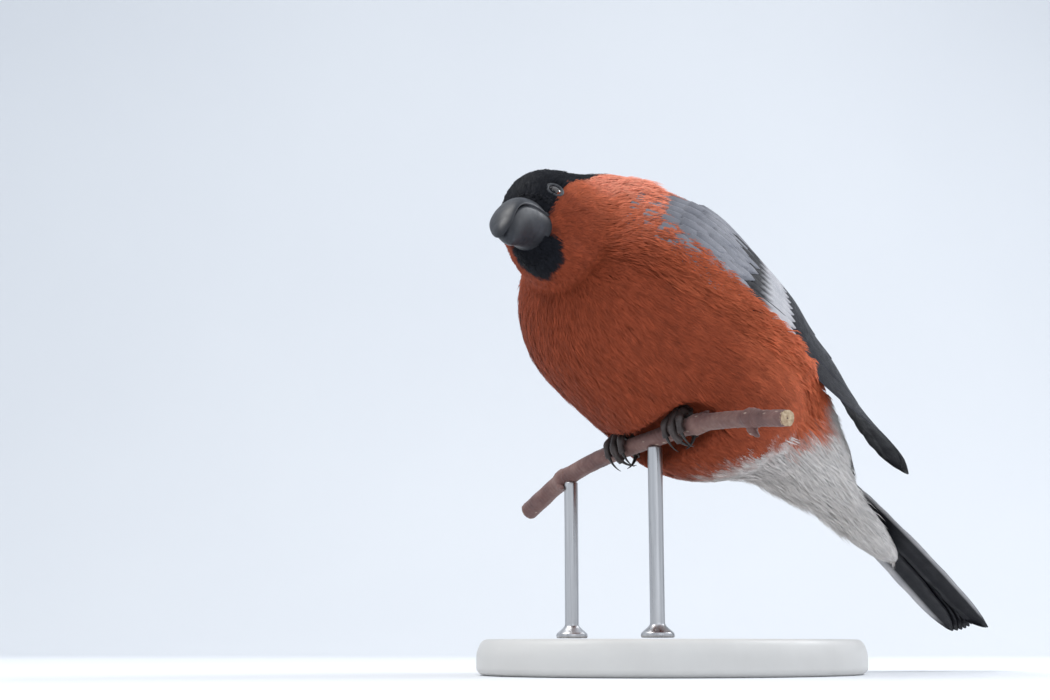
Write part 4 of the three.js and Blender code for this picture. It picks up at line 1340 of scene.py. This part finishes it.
def twig():
    sides, steps = 56, 520
    shares = np.linspace(0, 1, steps + 1)
    middle, tangents = (np.array(v) for v in zip(*(twig_at(t) for t in shares)))
    side_way = np.cross(tangents[0], [0.3, 0.2, 1.0])
    across = []
    for tangent in tangents:
        side_way = unit(side_way - tangent * (side_way @ tangent))
        across.append(side_way)
    across = np.array(across)
    over = np.cross(tangents, across)
    angle = np.linspace(0, 2 * pi, sides, endpoint=False)
    knots = sum(0.45 * np.exp(-(((shares - at) / 0.018) ** 2)) for at in TWIG_KNOTS)
    radius = TWIG_RADIUS * mix(1.14, 0.88, shares) + knots
    ways = across[:, None] * np.cos(angle)[None, :, None] + over[:, None] * np.sin(angle)[None, :, None]
    surface = middle[:, None] + ways * radius[:, None, None]
    flat = surface.reshape(-1, 3)
    rough = 0.05 * ripple(flat * [0.35, 1, 1], 1.6, 21) + 0.035 * ripple(flat, 0.8, 22)
    # raised rings of old bud scars beside each knot
    scar = sum(0.12 * np.exp(-(((shares - at - 0.024) / 0.003) ** 2)) for at in TWIG_KNOTS)
    surface = surface + ways * (rough.reshape(steps + 1, sides) + scar[:, None])[..., None]
    pieces = [closed_rings(surface)]
    for at, degrees_round, size in BUDS:
        k = int(at * steps)
        out = unit(across[k] * cos(radians(degrees_round)) + over[k] * sin(radians(degrees_round)))
        start = middle[k] + out * (radius[k] * 0.72)
        lean = unit(out * 0.72 + tangents[k] * 0.7)
        path = [start, start + lean * size * 0.4, start + lean * size * 0.8 + tangents[k] * 0.1 * size,
                start + lean * size + tangents[k] * 0.28 * size]
        belly = lambda t: mix(0.8, 1.1, np.sin(pi * np.minimum(1, t * 1.7)))
        swell = lambda t, s=size: 0.36 * s * np.sqrt(np.clip(1 - t**1.7, 0.002, 1)) * belly(t)
        shingles = lambda t, a: 0.05 * np.sin(t * 22 + np.cos(a * 2) * 2.0) * (1 - t)
        pieces.append(closed_rings(tube(path, swell, 34, 24, bumps=shingles)))
    points, faces = joined(pieces)
    mesh_object("twig_bark", points, faces, bark_material(), replaces=("perch_twig",))
    ends = []
    for k, sign in ((0, -1), (steps, 1)):
        rings = []
        for r, out in ((1.0, -0.3), (0.985, 0.02), (0.9, 0.05), (0.5, 0.09), (0.1, 0.02)):
            rings.append(mix(middle[k], surface[k], r) + tangents[k] * (sign * out))
        rings = np.array(rings[::sign])
        ends.append((rings.reshape(-1, 3), grid_faces(len(rings), sides, wrap=True)))
    points, faces = joined(ends)
    mesh_object("twig_ends", points, faces, wood_end_material())


def turned_profile(profile, sides, scale):
    """A turned solid about Z. profile holds (radius, height) shares."""
    profile = np.array(profile)
    angle = np.linspace(0, 2 * pi, sides, endpoint=False)
    rings = np.stack(
        [profile[:, :1] * np.cos(angle), profile[:, :1] * np.sin(angle), profile[:, 1:] + 0 * angle], -1
    )
    return (rings * scale).reshape(-1, 3), grid_faces(len(profile), sides, wrap=True)


def rounded(corners, radius, steps=7):
    """A profile whose inner corners are rounded."""
    corners = [np.array(c, float) for c in corners]
    path = [corners[0]]
    for a, b, c in zip(corners, corners[1:], corners[2:]):
        into, away = unit(a - b), unit(c - b)
        r = min(radius, 0.45 * np.linalg.norm(a - b), 0.45 * np.linalg.norm(c - b))
        for t in np.linspace(0, 1, steps):
            path.append((1 - t) ** 2 * (b + into * r) + 2 * t * (1 - t) * b + t * t * (b + away * r))
    return path + [corners[-1]]


def stand():
    rim = BASE_LENGTH / 2
    profile = rounded([(0.01, 0), (0.972 * rim, 0), (rim, 0.9), (rim, 4.6), (0.97 * rim, 7), (0.01, 7)], 2.4)
    points, faces = turned_profile(profile, 160, [BASE_WIDTH / BASE_LENGTH, 1, BASE_HEIGHT / 7])
    mesh_object("stand_plate", points, faces, stand_material(), replaces=("stand_base",))
    for word, x in RODS.items():
        top = twig_at(twig_share(x))[0]
        height = top[2] - BASE_HEIGHT - 0.3 - TWIG_RADIUS * 0.9
        collar = [(0.01, 0), (3.4, 0), (3.4, 0.9), (2.2, 1.9)]
        profile = rounded([*collar, (ROD_RADIUS, 2.6), (ROD_RADIUS, height), (0.01, height)], 0.5)
        points, faces = turned_profile(profile, 40, [1, 1, 1])
        mesh_object(f"rod_{word}", points + [top[0], top[1], BASE_HEIGHT + 0.3], faces, ROD,
                    replaces=(f"stand_rod_{word}",))


eyes()
bill()
feet()
twig()
stand()

# Studio


def studio():
    size, curve, steps = 1600.0, 260.0, 24
    back = 520.0
    profile = [(-size, 0.0), (back, 0.0)]
    for i in range(1, steps + 1):
        a = pi / 2 * i / steps
        profile.append((back + curve * sin(a), curve * (1 - cos(a))))
    profile.append((back + curve, 1500.0))
    # the sweep is turned to face the camera
    heading = np.array([0.756, -0.655])
    aside = np.array([-heading[1], heading[0]])
    points = []
    for distance, height in profile:
        for across in np.linspace(-1700, 1700, 9):
            flat = -heading * distance + aside * across
            points.append((flat[0], flat[1], height))
    mesh = bpy.data.meshes.new("floor_sweep")
    mesh.from_pydata([Vector(p) * MM for p in points], [], grid_faces(len(profile), 9).tolist())
    mesh.polygons.foreach_set("use_smooth", [True] * len(mesh.polygons))
    mesh.materials.append(floor_material())
    sweep = bpy.data.objects.new("floor_sweep", mesh)
    bpy.context.scene.collection.objects.link(sweep)

    world = bpy.data.worlds.new("studio_air")
    world.use_nodes = True
    background = world.node_tree.nodes["Background"]
    background.inputs["Color"].default_value = (0.86, 0.92, 1.0, 1)
    background.inputs["Strength"].default_value = 0.86
    bpy.context.scene.world = world

    target = Vector((0, 5, 70)) * MM
    for name, where, size_mm, power, colour in (
        ("key", (-180, -260, 620), 380, 2.0, (1.0, 0.985, 0.96)),
        ("fill", (520, -160, 300), 420, 0.3, (0.93, 0.96, 1.0)),
        ("rim", (160, 520, 520), 320, 2.4, (0.95, 0.97, 1.0)),
    ):
        light = bpy.data.lights.new(name, "AREA")
        light.shape = "DISK"
        light.size = size_mm * MM
        light.energy = power
        light.color = colour
        lamp = bpy.data.objects.new(name, light)
        lamp.location = Vector(where) * MM
        lamp.rotation_euler = (target - lamp.location).to_track_quat("-Z", "Y").to_euler()
        bpy.context.scene.collection.objects.link(lamp)


CAMERA_PLACE = (243.1, -210.0, 6.0)
CAMERA_AZIMUTH = 50.0
CAMERA_YAW = -4.56
CAMERA_PITCH = 10.74
CAMERA_LENS = 53.2


def camera():
    """Near the floor, from the bird's front left, looking up a little."""
    yaw, pitch, azimuth = radians(CAMERA_YAW), radians(CAMERA_PITCH), radians(CAMERA_AZIMUTH)
    outward = Vector((sin(azimuth), -cos(azimuth), 0))
    right = Vector((cos(azimuth), sin(azimuth), 0))
    ahead = -cos(yaw) * outward + sin(yaw) * right
    right = cos(yaw) * right + sin(yaw) * outward
    look = cos(pitch) * ahead + sin(pitch) * Vector((0, 0, 1))
    up = right.cross(look)
    lens = bpy.data.cameras.new("camera")
    lens.sensor_width = 36.0
    lens.lens = CAMERA_LENS
    lens.clip_start = 0.01
    lens.clip_end = 20
    eye = bpy.data.objects.new("camera", lens)
    turned = Matrix((right, up, -look)).transposed().to_4x4()
    eye.matrix_world = Matrix.Translation(Vector(CAMERA_PLACE) * MM) @ turned
    bpy.context.scene.collection.objects.link(eye)
    bpy.context.scene.camera = eye


studio()
camera()
bpy.context.scene.view_settings.view_transform = "Standard"
